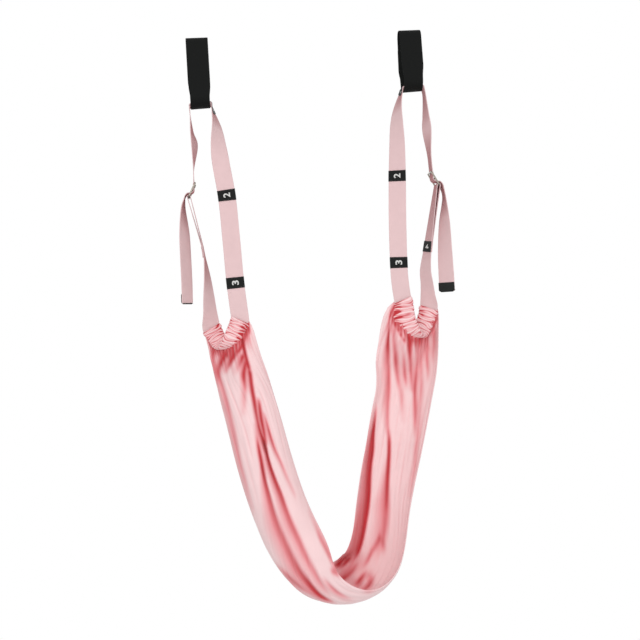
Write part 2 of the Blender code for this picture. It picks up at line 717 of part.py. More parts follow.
def build_tail_tip(side, rows):
    """Black tape folded round the tail's end: long on the face that looks forwards on the right."""
    last = len(rows) - 1
    lengths = (TIP_LENGTH, TIP_LENGTH / 2, TIP_THICKNESS)
    lines = [at_length(rows, last, -length) for length in lengths] + [rows[last]]
    lines = narrowed(np.array(lines), 1 + 2 * LABEL_OVERHANG / STRAP_WIDTH)
    normals = row_normals(lines, False)
    sign = math.copysign(1.0, -float(normals[:, :, 1].mean())) * (1.0 if side == "right" else -1.0)
    offset = STRAP_THICKNESS / 2 + SEAT_GAP + TIP_THICKNESS / 2
    run = unit(lines[-1].mean(0) - lines[-2].mean(0))
    face = lines + normals * offset * sign
    back_near = lines[-1] - normals[-1] * offset * sign
    back = at_length(rows, last, -TIP_BACK)
    middle = back.mean(axis=0)
    back = middle + (back - middle) * (1 + 2 * LABEL_OVERHANG / STRAP_WIDTH)
    back_far = back - normals[-1] * offset * sign
    reach = SEAT_GAP + TIP_THICKNESS / 2
    turned = [
        lines[-1] + run * reach + normals[-1] * offset * sign,
        lines[-1] + run * reach - normals[-1] * offset * sign,
    ]
    path = np.array([*face, *turned, back_near, back_far])
    name = f"{side}_tail_tip"
    add_object(name, sheet_solid(name, path, TIP_THICKNESS), black_webbing())


def hanger_width(height, side):
    """The webbing's width at a height: full above the eye's neck, drawn in at the eye."""
    above = height + EYE_DROP[side]
    share = min(1.0, max(0.0, above / HANGER_NECK))
    share = share * share * (3 - 2 * share)
    return HANGER_EYE_WIDTH + (HANGER_WIDTH - HANGER_EYE_WIDTH) * share


def hanger_path(side):
    """Depth and height of the loop's middle line: round the bar, down the rear, round the eye."""
    top = BAR_RADIUS + BAR_CLEARANCE + HANGER_THICKNESS / 2
    eye = EYE_INNER_RADIUS + HANGER_THICKNESS / 2
    drop = EYE_DROP[side]
    path = []
    for k in range(BAR_TURN_STEPS + 1):
        angle = math.pi * k / BAR_TURN_STEPS
        path.append((-top * math.cos(angle), top * math.sin(angle)))
    for k in range(1, HANGER_RUN_STEPS):
        share = k / HANGER_RUN_STEPS
        path.append((top + (eye - top) * share, -drop * share))
    for k in range(EYE_TURN_STEPS + 1):
        angle = math.pi * k / EYE_TURN_STEPS
        path.append((eye * math.cos(angle), -drop - eye * math.sin(angle)))
    for k in range(1, HANGER_RUN_STEPS):
        share = 1 - k / HANGER_RUN_STEPS
        path.append((-top - (eye - top) * share, -drop * share))
    return path


def hanger_line(side, depth, height):
    """A cross line of the hanger webbing, level at the bar and on the eyes' slope below."""
    width = hanger_width(height, side)
    lowness = min(1.0, max(0.0, -height / EYE_DROP[side]))
    line = []
    for j in range(HANGER_ACROSS):
        shift = width * (j / (HANGER_ACROSS - 1) - 0.5)
        x = SIDES[side] * HANGER_OUT + shift
        line.append((x, depth, height + shift * EYE_SLOPE * lowness))
    return line


def rear_lines(side, start, end, steps):
    """Cross lines of the loop's straight rear run between two heights."""
    top = BAR_RADIUS + BAR_CLEARANCE + HANGER_THICKNESS / 2
    eye = EYE_INNER_RADIUS + HANGER_THICKNESS / 2
    lines = []
    for k in range(steps + 1):
        height = start + (end - start) * k / steps
        depth = top + (eye - top) * -height / EYE_DROP[side]
        lines.append(hanger_line(side, depth, height))
    return np.array(lines)


def build_hanger(side):
    """The black loop, the overlapping ply of its sewn joint on the rear run, and that joint's tack."""
    rows = [hanger_line(side, depth, height) for depth, height in hanger_path(side)]
    name = f"{side}_hanger_webbing"
    add_object(name, sheet_solid(name, rows, HANGER_THICKNESS, looped=True), black_webbing())
    lap_low = -LAP_FROM_BAR - LAP_LENGTH
    lap_rows = rear_lines(side, -LAP_FROM_BAR, lap_low, LAP_STEPS)
    normals = row_normals(lap_rows, False)
    sign = math.copysign(1.0, float(normals[:, :, 1].mean()))
    lift = sign * (HANGER_THICKNESS + SEAT_GAP)
    name = f"{side}_hanger_lap"
    add_object(name, sheet_solid(name, lap_rows, HANGER_THICKNESS, lift=lift), black_webbing())
    tack_low = lap_low + TACK_INSET
    tack_rows = narrowed(rear_lines(side, tack_low, tack_low + TACK_LENGTH, TACK_STEPS), TACK_WIDTH_SHARE)
    over = sign * (HANGER_THICKNESS * 3 / 2 + SEAT_GAP * 2 + TACK_THICKNESS / 2)
    name = f"{side}_hanger_bartack"
    tack_normals = row_normals(tack_rows, False)
    flip = math.copysign(1.0, float(tack_normals[:, :, 1].mean()) * sign)
    add_object(name, sheet_solid(name, tack_rows, TACK_THICKNESS, lift=flip * over), dark_thread())


def build_channel(side, rows, marks):
    """The ruched sleeve round the strap's U, with a slot right through for the strap."""
    inside = rows[marks["channel"] : marks["channel"] + len(channel_knots(side))]
    normals = row_normals(rows, False)[marks["channel"] : marks["channel"] + len(inside)]
    middles = inside.mean(axis=1)
    wides = unit_rows(inside[:, -1] - inside[:, 0])
    thicks = unit_rows(normals.mean(axis=1))
    points = []
    count = 2 * len(inside) - 1
    for order in range(count):
        near, far = order // 2, (order + 1) // 2
        middle = (middles[near] + middles[far]) / 2
        wide = (wides[near] + wides[far]) / 2
        thick = (thicks[near] + thicks[far]) / 2
        ruche = RUCHE_DEPTH * math.cos(2 * math.pi * RUCHE_COUNT * order / (count - 1))
        half_width, half_depth = CHANNEL_HALF_WIDTH + ruche, CHANNEL_HALF_DEPTH + ruche
        points += sleeve_ring(middle, wide * half_width, thick * half_depth, SLEEVE_ROUND_SHARE)
        half_width, half_depth = STRAP_WIDTH / 2 + BORE_SPARE, STRAP_THICKNESS / 2 + BORE_SPARE
        points += sleeve_ring(middle, wide * half_width, thick * half_depth, 0.0)
    ring = 2 * len(SLEEVE_SHARES)
    faces = []
    for order in range(count - 1):
        near, far = order * 2 * ring, (order + 1) * 2 * ring
        for base in (0, ring):
            for k in range(ring):
                n = (k + 1) % ring
                faces.append((near + base + k, near + base + n, far + base + n, far + base + k))
    for start in (0, (count - 1) * 2 * ring):
        for k in range(ring):
            n = (k + 1) % ring
            faces.append((start + k, start + n, start + ring + n, start + ring + k))
    name = f"{side}_channel"
    add_object(name, closed_mesh(name, points, faces), pink_cloth())


def sleeve_ring(middle, wide, thick, round_share):
    """Points round a flat sleeve: along one face and back along the other, its edges drawn in."""
    points = []
    for way in (1, -1):
        for across in SLEEVE_SHARES:
            arch = 1.0 - round_share * abs(across) ** 3
            points.append(middle + wide * across * way + thick * way * arch)
    return points


def unit_rows(vectors):
    """Each row of a list of vectors as a direction, one long."""
    return vectors / np.linalg.norm(vectors, axis=1, keepdims=True)


def read_table(table, share):
    """Reads a table of even steps at a share of its length."""
    return float(np.interp(share, np.linspace(0.0, 1.0, len(table)), table))


def top_point(side, across):
    """A point of the cloth's top edge, which runs round the outside of the channel."""
    share = (across + 1) / 2
    along = TOP_INSET + (sum(channel_runs(side)) - 2 * TOP_INSET) * share
    out, depth, height = channel_spot(side, along, TOP_RADIUS)
    shift = read_table(TOP_SHIFT_SHARES[side], share) * CHANNEL_HALF_WIDTH
    return place(side, out + shift, depth, height)


def cloth_rows():
    """The grid of the cloth: rows from the left channel to the right one, front lip to rear lip."""
    table = np.array(smooth(CLOTH_SHARES, 12))
    line = np.stack((table[:, 0] * HAMMOCK_HALF_SPAN, AXIS_HEIGHT - table[:, 1] * HAMMOCK_DROP), axis=1)
    lengths = np.concatenate(((0.0,), np.cumsum(np.linalg.norm(np.diff(line, axis=0), axis=1))))
    grid = []
    for share in ROW_SHARES:
        along = lengths[-1] * share
        values = [float(np.interp(along, lengths, table[:, k])) for k in range(5)]
        reach = SLOPE_REACH_SHARE * CLOTH_WIDTH
        ahead, behind = [
            np.array([np.interp(along + way * reach, lengths, line[:, k]) for k in (0, 1)])
            for way in (1, -1)
        ]
        grid.append(cloth_row(along, lengths[-1], values, unit(ahead - behind)))
    return np.array(grid)


def cloth_row(along, whole, values, run):
    """One row across the cloth, square to its middle line except near the channels."""
    x_share, drop_share, width_share, sag_share, turn_share = values
    centre = np.array(
        (x_share * HAMMOCK_HALF_SPAN, CLOTH_DEPTH_SHIFT, AXIS_HEIGHT - drop_share * HAMMOCK_DROP)
    )
    inward = np.array((-run[1], 0.0, run[0]))
    rearward = np.array((0.0, 1.0, 0.0))
    turn = turn_share * QUARTER
    across_way = rearward * math.cos(turn) + inward * math.sin(turn)
    open_way = inward * math.cos(turn) - rearward * math.sin(turn)
    width, sag = width_share * CLOTH_WIDTH, sag_share * CLOTH_WIDTH
    side = "left" if along < whole / 2 else "right"
    first = CLOTH_SHARES[0] if side == "left" else CLOTH_SHARES[-1]
    start = np.array((first[0] * HAMMOCK_HALF_SPAN, 0.0, AXIS_HEIGHT - first[1] * HAMMOCK_DROP))
    row = []
    for j in range(CLOTH_COLUMNS):
        v = 2 * j / (CLOTH_COLUMNS - 1) - 1
        angle = v * TROUGH_ANGLE
        p = width / 2 * math.sin(angle) / math.sin(TROUGH_ANGLE)
        q = sag * ((1 - math.cos(angle)) / (1 - math.cos(TROUGH_ANGLE)) - 0.5)
        for places, depths in FOLD_SHARES:
            off = (v - read_table(places, along / whole)) / FOLD_WIDTH_SHARE
            q += FOLD_DEPTH * read_table(depths, along / whole) * math.exp(-off * off)
        hung = centre + across_way * p + open_way * q
        straight = TOP_STRAIGHT[side] * (1 - LIP_EARLY_SHARE * abs(v) ** 3)
        near = min(1.0, max(0.0, (min(along, whole - along) - straight) / TOP_BLEND[side]))
        hold = near * near * (3 - 2 * near)
        lip = top_point(side, v if side == "left" else -v)
        level = lip + (centre - start) * np.array((1.0, 0.0, 1.0))
        row.append(level * (1 - hold) + hung * hold)
    return row


def build_hammock():
    """The cloth between the channels: a trough with its main folds."""
    mesh = sheet_solid("hammock", cloth_rows(), CLOTH_THICKNESS)
    add_object("hammock", mesh, pink_cloth())


def main():
    for thing in list(bpy.data.objects):
        bpy.data.objects.remove(thing)
    for side in SIDES:
        build_hanger(side)
        rows, marks, sign = build_strap(side)
        build_labels(side, rows, marks)
        build_sewn_joint(side, rows, marks, sign)
        build_channel(side, rows, marks)
        build_buckle(side)
        build_tail(side)
    build_hammock()


main()
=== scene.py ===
"""Looks of a yoga trapeze swing, laid out as a Blender add-on and run as a script.

Metres, +Z up, +X to the right of the photograph, -Y towards its viewer. The origin lies on the axis of
the bar that the swing hangs on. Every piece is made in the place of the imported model's own piece.
"""

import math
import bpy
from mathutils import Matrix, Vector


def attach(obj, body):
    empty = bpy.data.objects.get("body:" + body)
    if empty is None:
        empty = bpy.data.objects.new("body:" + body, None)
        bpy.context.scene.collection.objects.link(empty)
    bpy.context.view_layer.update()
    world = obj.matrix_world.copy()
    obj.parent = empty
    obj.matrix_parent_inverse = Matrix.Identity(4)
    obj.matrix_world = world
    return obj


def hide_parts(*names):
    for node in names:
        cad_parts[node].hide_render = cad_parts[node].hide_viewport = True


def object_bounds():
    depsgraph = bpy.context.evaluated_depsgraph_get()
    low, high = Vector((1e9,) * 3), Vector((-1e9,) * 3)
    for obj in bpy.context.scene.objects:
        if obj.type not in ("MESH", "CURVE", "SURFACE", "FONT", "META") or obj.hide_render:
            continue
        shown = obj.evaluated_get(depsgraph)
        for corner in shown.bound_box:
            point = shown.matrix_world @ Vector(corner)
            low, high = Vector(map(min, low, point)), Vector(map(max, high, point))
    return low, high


bl_info = {
    "name": "Yoga Trapeze Swing",
    "version": (1, 0, 0),
    "blender": (4, 5, 0),
    "location": "3D View > Sidebar > Yoga Swing",
    "description": "Builds a hammock swing with webbing straps, buckles, labels and a gathered cloth",
    "category": "Add Mesh",
}

import bmesh
import bpy
import numpy as np
from bpy.props import FloatProperty, FloatVectorProperty, PointerProperty
from mathutils import Matrix, Vector

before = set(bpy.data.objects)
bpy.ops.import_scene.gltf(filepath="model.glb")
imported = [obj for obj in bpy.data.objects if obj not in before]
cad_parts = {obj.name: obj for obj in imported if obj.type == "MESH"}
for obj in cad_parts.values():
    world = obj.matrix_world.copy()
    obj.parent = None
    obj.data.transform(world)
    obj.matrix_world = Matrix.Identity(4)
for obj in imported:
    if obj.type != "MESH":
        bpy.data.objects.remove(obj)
CAD_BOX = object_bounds()

SIDES = {"left": -1.0, "right": 1.0}
QUARTER = math.pi / 2
MM = 0.001

# The photograph's frame and viewpoint, the lamps (name, place, watts and width) and the floor
PICTURE_PIXELS = 640
CAMERA_TARGET = (0.0, 0.0, -0.637)
CAMERA_DISTANCE = 2.6
CAMERA_AZIMUTH = math.radians(-5.0)
CAMERA_ROLL = math.radians(-3.3)
CAMERA_SENSOR = 36.0
METRES_PER_PIXEL = 0.00229
LAMP_AIM = (0.0, 0.0, -0.70)
LAMPS = (
    ("key_lamp", (-0.7, -3.2, 0.1), 56.0, 2.4),
    ("fill_lamp", (2.3, -2.0, -0.4), 10.0, 1.8),
    ("rear_lamp", (0.6, 3.0, 0.5), 26.0, 2.2),
)
WORLD_LIGHT = 0.62
FLOOR_DROP = 0.50
FLOOR_RADIUS = 1.45
FLOOR_FADE = (0.75, 1.40)

# Pitches of the threads in the weave and in the knit; the knit's are coarser than real ones, to show
WARP_PITCH = 0.8 * MM
LABEL_RIB_PITCH = 0.6 * MM
WALE_PITCH = 0.9 * MM
COURSE_PITCH = 1.3 * MM

# Seams: their stitches' pitch and length and the thread's thickness, and how far thread stands off
WEBBING_SEAM = (3.0 * MM, 2.2 * MM, 0.45 * MM)
TAPE_SEAM = (2.6 * MM, 1.9 * MM, 0.4 * MM)
SEAM_LIFT = 0.1 * MM

# Bar tacks
TACK_LENGTH = 0.005
TACK_INSET = 0.004
TACK_WIDTH_SHARE = 0.84
TACK_LIFT = 0.2 * MM
TACK_THREAD = 0.55 * MM

# Bar and black hanger loops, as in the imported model
BAR_RADIUS = 0.016
BAR_CLEARANCE = 0.0005
HANGER_SPACING = 0.488
HANGER_WIDTH = 0.050
HANGER_THICKNESS = 0.0020
HANGER_EYE_WIDTH = 0.044
HANGER_HEIGHT = {"left": 0.161, "right": 0.142}
HANGER_NECK = 0.030
LAP_LENGTH = 0.060
LAP_FROM_BAR = 0.022
LAP_SEAM_TOP = 4 * MM
LAP_SEAM_LOW = 12 * MM
LAP_SEAM_SHARE = 0.86
HANGER_TACK_STITCHES = 151

# Pink strap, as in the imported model
CROWN_RADIUS = 0.0240
CROWN_CLEARANCE = 0.0008
CROWN_SIDE_GAP = 0.0022
CROWN_BEND = 0.0042
LEG_FLATTENS = 0.040
SEAT_GAP = 0.0003
STRAP_WIDTH = 0.040
STRAP_THICKNESS = 0.0018
STRAND_STEPS = 10

# Labels, sewn loop and tail
LABEL_LENGTH = 0.025
LABEL_OVERHANG = 0.0005
LABEL_THICKNESS = 0.0008
LABEL_PITCH = 0.200
LABEL_FIRST = {"left": 0.030, "right": 0.022}
LABEL_COUNT = 3
LABEL_SEAM_INSET = 2 * MM
LABEL_SEAM_SHARE = 0.93
NUMERAL_BOLDNESS = 0.022
NUMERAL_EDGE = 2 * MM
NUMERAL_RISE = 0.22 * MM
NUMERAL_ROOT = 0.15 * MM
END_LABEL_INSET = 0.003
SEWN_DROP = {"left": 0.4517, "right": 0.4659}
SEWN_OUT = {"left": 0.2575, "right": 0.2643}
SEWN_LENGTH = 0.028
LOOP_SEAM_INSET = 3 * MM
LOOP_SEAM_GAP = 2 * MM
LOOP_SEAM_SHARE = 0.82
STRAP_TACK_STITCHES = 131
TAIL_END_GAP = 0.0005
TAIL_DROP = {"left": 0.583, "right": 0.588}
TAIL_OUT = {"left": 0.2990, "right": 0.2985}
TAIL_CORNER = 5 * MM
TIP_LENGTH = 0.021
TIP_BACK = {"left": 0.0015, "right": 0.004}
TIP_THICKNESS = 0.0009
TIP_SEAM_INSETS = (2 * MM, 6 * MM)
TIP_SEAM_SHARE = 0.9

# Three-bar buckle
BUCKLE_DROP = 0.3275
BUCKLE_OUT = {"left": 0.2737, "right": 0.2818}
BUCKLE_LEAN = math.radians(28)
BUCKLE_PITCH = 0.017
BUCKLE_BAR = 0.0040
BUCKLE_PLATE = 0.0034
BUCKLE_SLOT_SPARE = 0.0010
BUCKLE_RAIL = 0.0040
BUCKLE_CORNER = 0.0055
BUCKLE_CORNER_STEPS = 7
BUCKLE_SLOT_CORNER = 0.0012
BUCKLE_ROUNDING = 0.0013
BUCKLE_ROUNDING_STEPS = 4
BUCKLE_RIM_ANGLE = math.radians(60)
BUCKLE_SMOOTH_ANGLE = math.radians(50)
WEAVE_CLEARANCE = 0.0006

# Channel at each end of the cloth
AXIS_DROP = 0.662
U_RADIUS = 0.024
FRONT_MOUTH = {"left": (0.182, 0.627), "right": (0.190, 0.602)}
REAR_MOUTH = {"left": (0.249, 0.641), "right": (0.259, 0.624)}
CHANNEL_HALF_WIDTH = 0.0222
CHANNEL_HALF_DEPTH = 0.0048
CHANNEL_WALL = 0.0010
CHANNEL_BOW = {"left": 0.0, "right": 0.013}
CHANNEL_BOW_END = 0.85
CHANNEL_SPREAD = {"left": 0.0, "right": 0.013}
CHANNEL_SPREAD_AT = 0.30
CHANNEL_SPREAD_REACH = 0.20
CHANNEL_DRAWN_IN = 1.6 * MM
CHANNEL_FACE_WALL = 1.6 * MM
CHANNEL_BORE_GAP = 0.5 * MM
CHANNEL_ROWS = 280
CHANNEL_RING = 96

# Ruches of the channel: ridges along it, how high they stand in millimetres, the puff of its front and
# rear mouths, where round it (in radians) and along it a painted shade darkens the gaps between the
# ridges, and how dark the painted shade of its inner wall is
RUCHE_SEED = {"left": 11, "right": 12}
RIDGE_COUNT = 19
FINE_RIDGE_COUNT = 37
RUCHE_LEVEL = 0.75
RUCHE_RISE = 2.3
MOUTH_PUFFS = (1.6 * MM, 3.6 * MM)
FRILL_RISE = 0.8 * MM
INNER_EDGE_REACH = 1.12
INNER_EDGE_POWER = 6
OUTER_EDGE_REACH = 0.5
FRONT_RUN_END = 0.52
FRONT_RUN_FADE = 0.12
REAR_RUN_LOSS = 0.75
BORE_PAINTED_SHADE = 0.9

# Hammock cloth
CLOTH_CLEARANCE = 0.0006
CLOTH_THICKNESS = 0.0025
RUCHE_DEPTH = 0.0014
HAMMOCK_DROP = 0.629
HAMMOCK_HALF_SPAN = 0.216
CLOTH_WIDTH = 0.122
TOP_INSET = 0.003
TOP_STRAIGHT = {"left": 0.034, "right": 0.030}
TOP_BLEND = {"left": 0.110, "right": 0.075}
LIP_EARLY_SHARE = 0.95
TUCK_REACH = 0.016
TUCK_RADIUS = 0.0268
TUCK_SHIFT_SHARE = 0.97
TROUGH_ANGLE = math.radians(80)
SLOPE_REACH_SHARE = 0.10
CLOTH_ROWS = 310
CLOTH_COLUMNS = 151
ROW_CROWDING = 0.5
HEM_STEP = 1 * MM
HEM_THICKENING = 0.55
HEM_SEAM_INSET = 2 * MM
HEM_SEAM_LIFT = 0.12 * MM
LIP_ROUNDING = 0.8 * MM

# How a fold's slopes and its painted shade spread from its line, in widths of the fold, how strong that
# painted shade is on its own face and beside the line on the other face, and how dark a hollow of the
# cloth is painted
PROFILE_REACH = 2.6
PAINTED_SHADE_REACH = 2.2
PAINTED_SHADE_EDGE = 0.0015
PAINTED_SHADE_GAIN = 1.28
BACK_SHADE = 0.60
BACK_SHADE_AT = 1.3
BACK_SHADE_WIDTH = 0.4
LAYER_REACH = 0.025
HOLLOW_PAINTED_SHADE = 0.4
HOLLOW_DEPTH = 2.6 * MM

# Gathers below each channel, and the short pinch in which each starts; both get painted shade
GATHER_COUNT = 34
PINCH_AT = (0.004, 0.016, 0.026)
PINCH_STRENGTHS = (1.0, 0.9, 0.0)
PINCH_WIDTHS = (1.0 * MM, 0.8 * MM)
PINCH_SHARE = 0.4

# Ripples of the knit
RIPPLE_COUNT = 7
RIPPLE_HEIGHT = 0.30 * MM

# Each strand runs between two ends; a station is its share of the way, its shift aside in strap widths
# away from the middle of the swing, and its turn as a share of a quarter turn, 0 facing the front.
FRONT_SHARES = {
    "left": (
        (0.082, -0.14, 0.67), (0.175, -0.10, 0.34), (0.270, -0.10, 0.07), (0.421, -0.18, 0.0),
        (0.622, -0.10, 0.0), (0.828, 0.0, 0.0),
    ),
    "right": (
        (0.075, -0.24, 0.78), (0.153, -0.30, 0.57), (0.251, -0.28, 0.41), (0.406, -0.28, 0.24),
        (0.613, -0.28, 0.09), (0.831, -0.22, 0.0), (0.927, -0.13, 0.0),
    ),
}
UPPER_REAR_SHARES = {
    "left": ((0.116, -0.02, 1.0), (0.300, -0.06, 0.90), (0.480, -0.16, 0.78), (0.794, -0.03, 1.0)),
    "right": ((0.086, 0.04, 1.0), (0.300, 0.02, 0.88), (0.480, 0.0, 0.78), (0.775, 0.0, 0.98)),
}
LOWER_REAR_SHARES = {
    "left": ((0.150, -0.03, 0.38), (0.350, -0.05, 0.56), (0.600, -0.08, 0.76), (0.840, -0.05, 0.94)),
    "right": ((0.150, -0.06, 0.42), (0.350, -0.12, 0.60), (0.557, -0.20, 0.68), (0.810, -0.10, 0.80)),
}
SEWN_TURN_SHARE = {"left": 0.98, "right": 0.84}
TAIL_SHARES = {
    "left": ((0.110, 0.09, 0.85), (0.330, 0.06, 0.64), (0.560, 0.03, 0.60), (0.785, 0.0, 0.60)),
    "right": ((0.112, 0.11, 1.0), (0.350, 0.05, 0.70), (0.620, 0.0, 0.52), (0.850, 0.0, 0.44)),
}
TAIL_TIP_TURN_SHARE = {"left": 0.60, "right": 0.42}
WEAVE_SHARES = (
    (-0.38, -0.17), (-0.19, -0.80), (0.0, -1.0), (0.26, -0.74),
    (0.50, 0.0), (0.74, 0.74), (1.0, 1.0),
)
TAIL_END_SHARES = (-0.482, 0.63)
TAIL_ROOT_SHARES = ((-0.70, 1.93), (-1.03, 2.42), (-1.36, 2.34))

# The cloth's middle line from the left channel to the right one: place as shares of the half span and
# of the drop, width and sag as shares of the cloth's width, and turn as a share of a quarter turn.
CLOTH_SHARES = (
    (-0.929, 0.036, 0.98, 0.34, -0.70),
    (-0.885, 0.150, 1.00, 0.34, -0.82),
    (-0.785, 0.300, 1.03, 0.36, -0.90),
    (-0.680, 0.477, 1.05, 0.38, -0.90),
    (-0.587, 0.617, 1.08, 0.44, -0.84),
    (-0.502, 0.737, 1.20, 0.54, -0.66),
    (-0.395, 0.829, 1.36, 0.62, -0.42),
    (-0.243, 0.893, 1.50, 0.66, -0.20),
    (-0.065, 0.926, 1.55, 0.68, -0.04),
    (0.100, 0.930, 1.55, 0.66, 0.10),
    (0.262, 0.915, 1.42, 0.62, 0.30),
    (0.400, 0.880, 1.24, 0.54, 0.54),
    (0.480, 0.820, 1.08, 0.48, 0.72),
    (0.525, 0.745, 1.00, 0.44, 0.82),
    (0.560, 0.655, 1.00, 0.42, 0.88),
    (0.622, 0.555, 1.02, 0.40, 0.90),
    (0.725, 0.418, 1.06, 0.38, 0.90),
    (0.830, 0.258, 1.11, 0.36, 0.88),
    (0.912, 0.120, 1.18, 0.34, 0.82),
    (0.945, 0.030, 1.20, 0.34, 0.75),
)
TOP_SHIFT_SHARES = {
    "left": (-1.20, -1.0, -0.55, 0.0, 0.55, 0.85, 0.80),
    "right": (-1.25, -1.1, -0.60, 0.0, 0.60, 1.10, 1.20),
}

# How far the rear lip of the right arm hangs in from its row, at lengths from the channel
LIP_SHIFTS = (
    (0.0, 0.0), (0.014, 0.013), (0.030, 0.0125), (0.053, 0.0024), (0.073, -0.0007), (0.105, -0.0065),
    (0.141, -0.0085), (0.175, -0.0045), (0.245, -0.002), (0.307, 0.0),
)

# How far the rear lip dips where the seat turns up into the right arm, at a share of the cloth's length
LIP_DIP = 0.018
LIP_DIP_AT = 0.54
LIP_DIP_REACH = 0.10
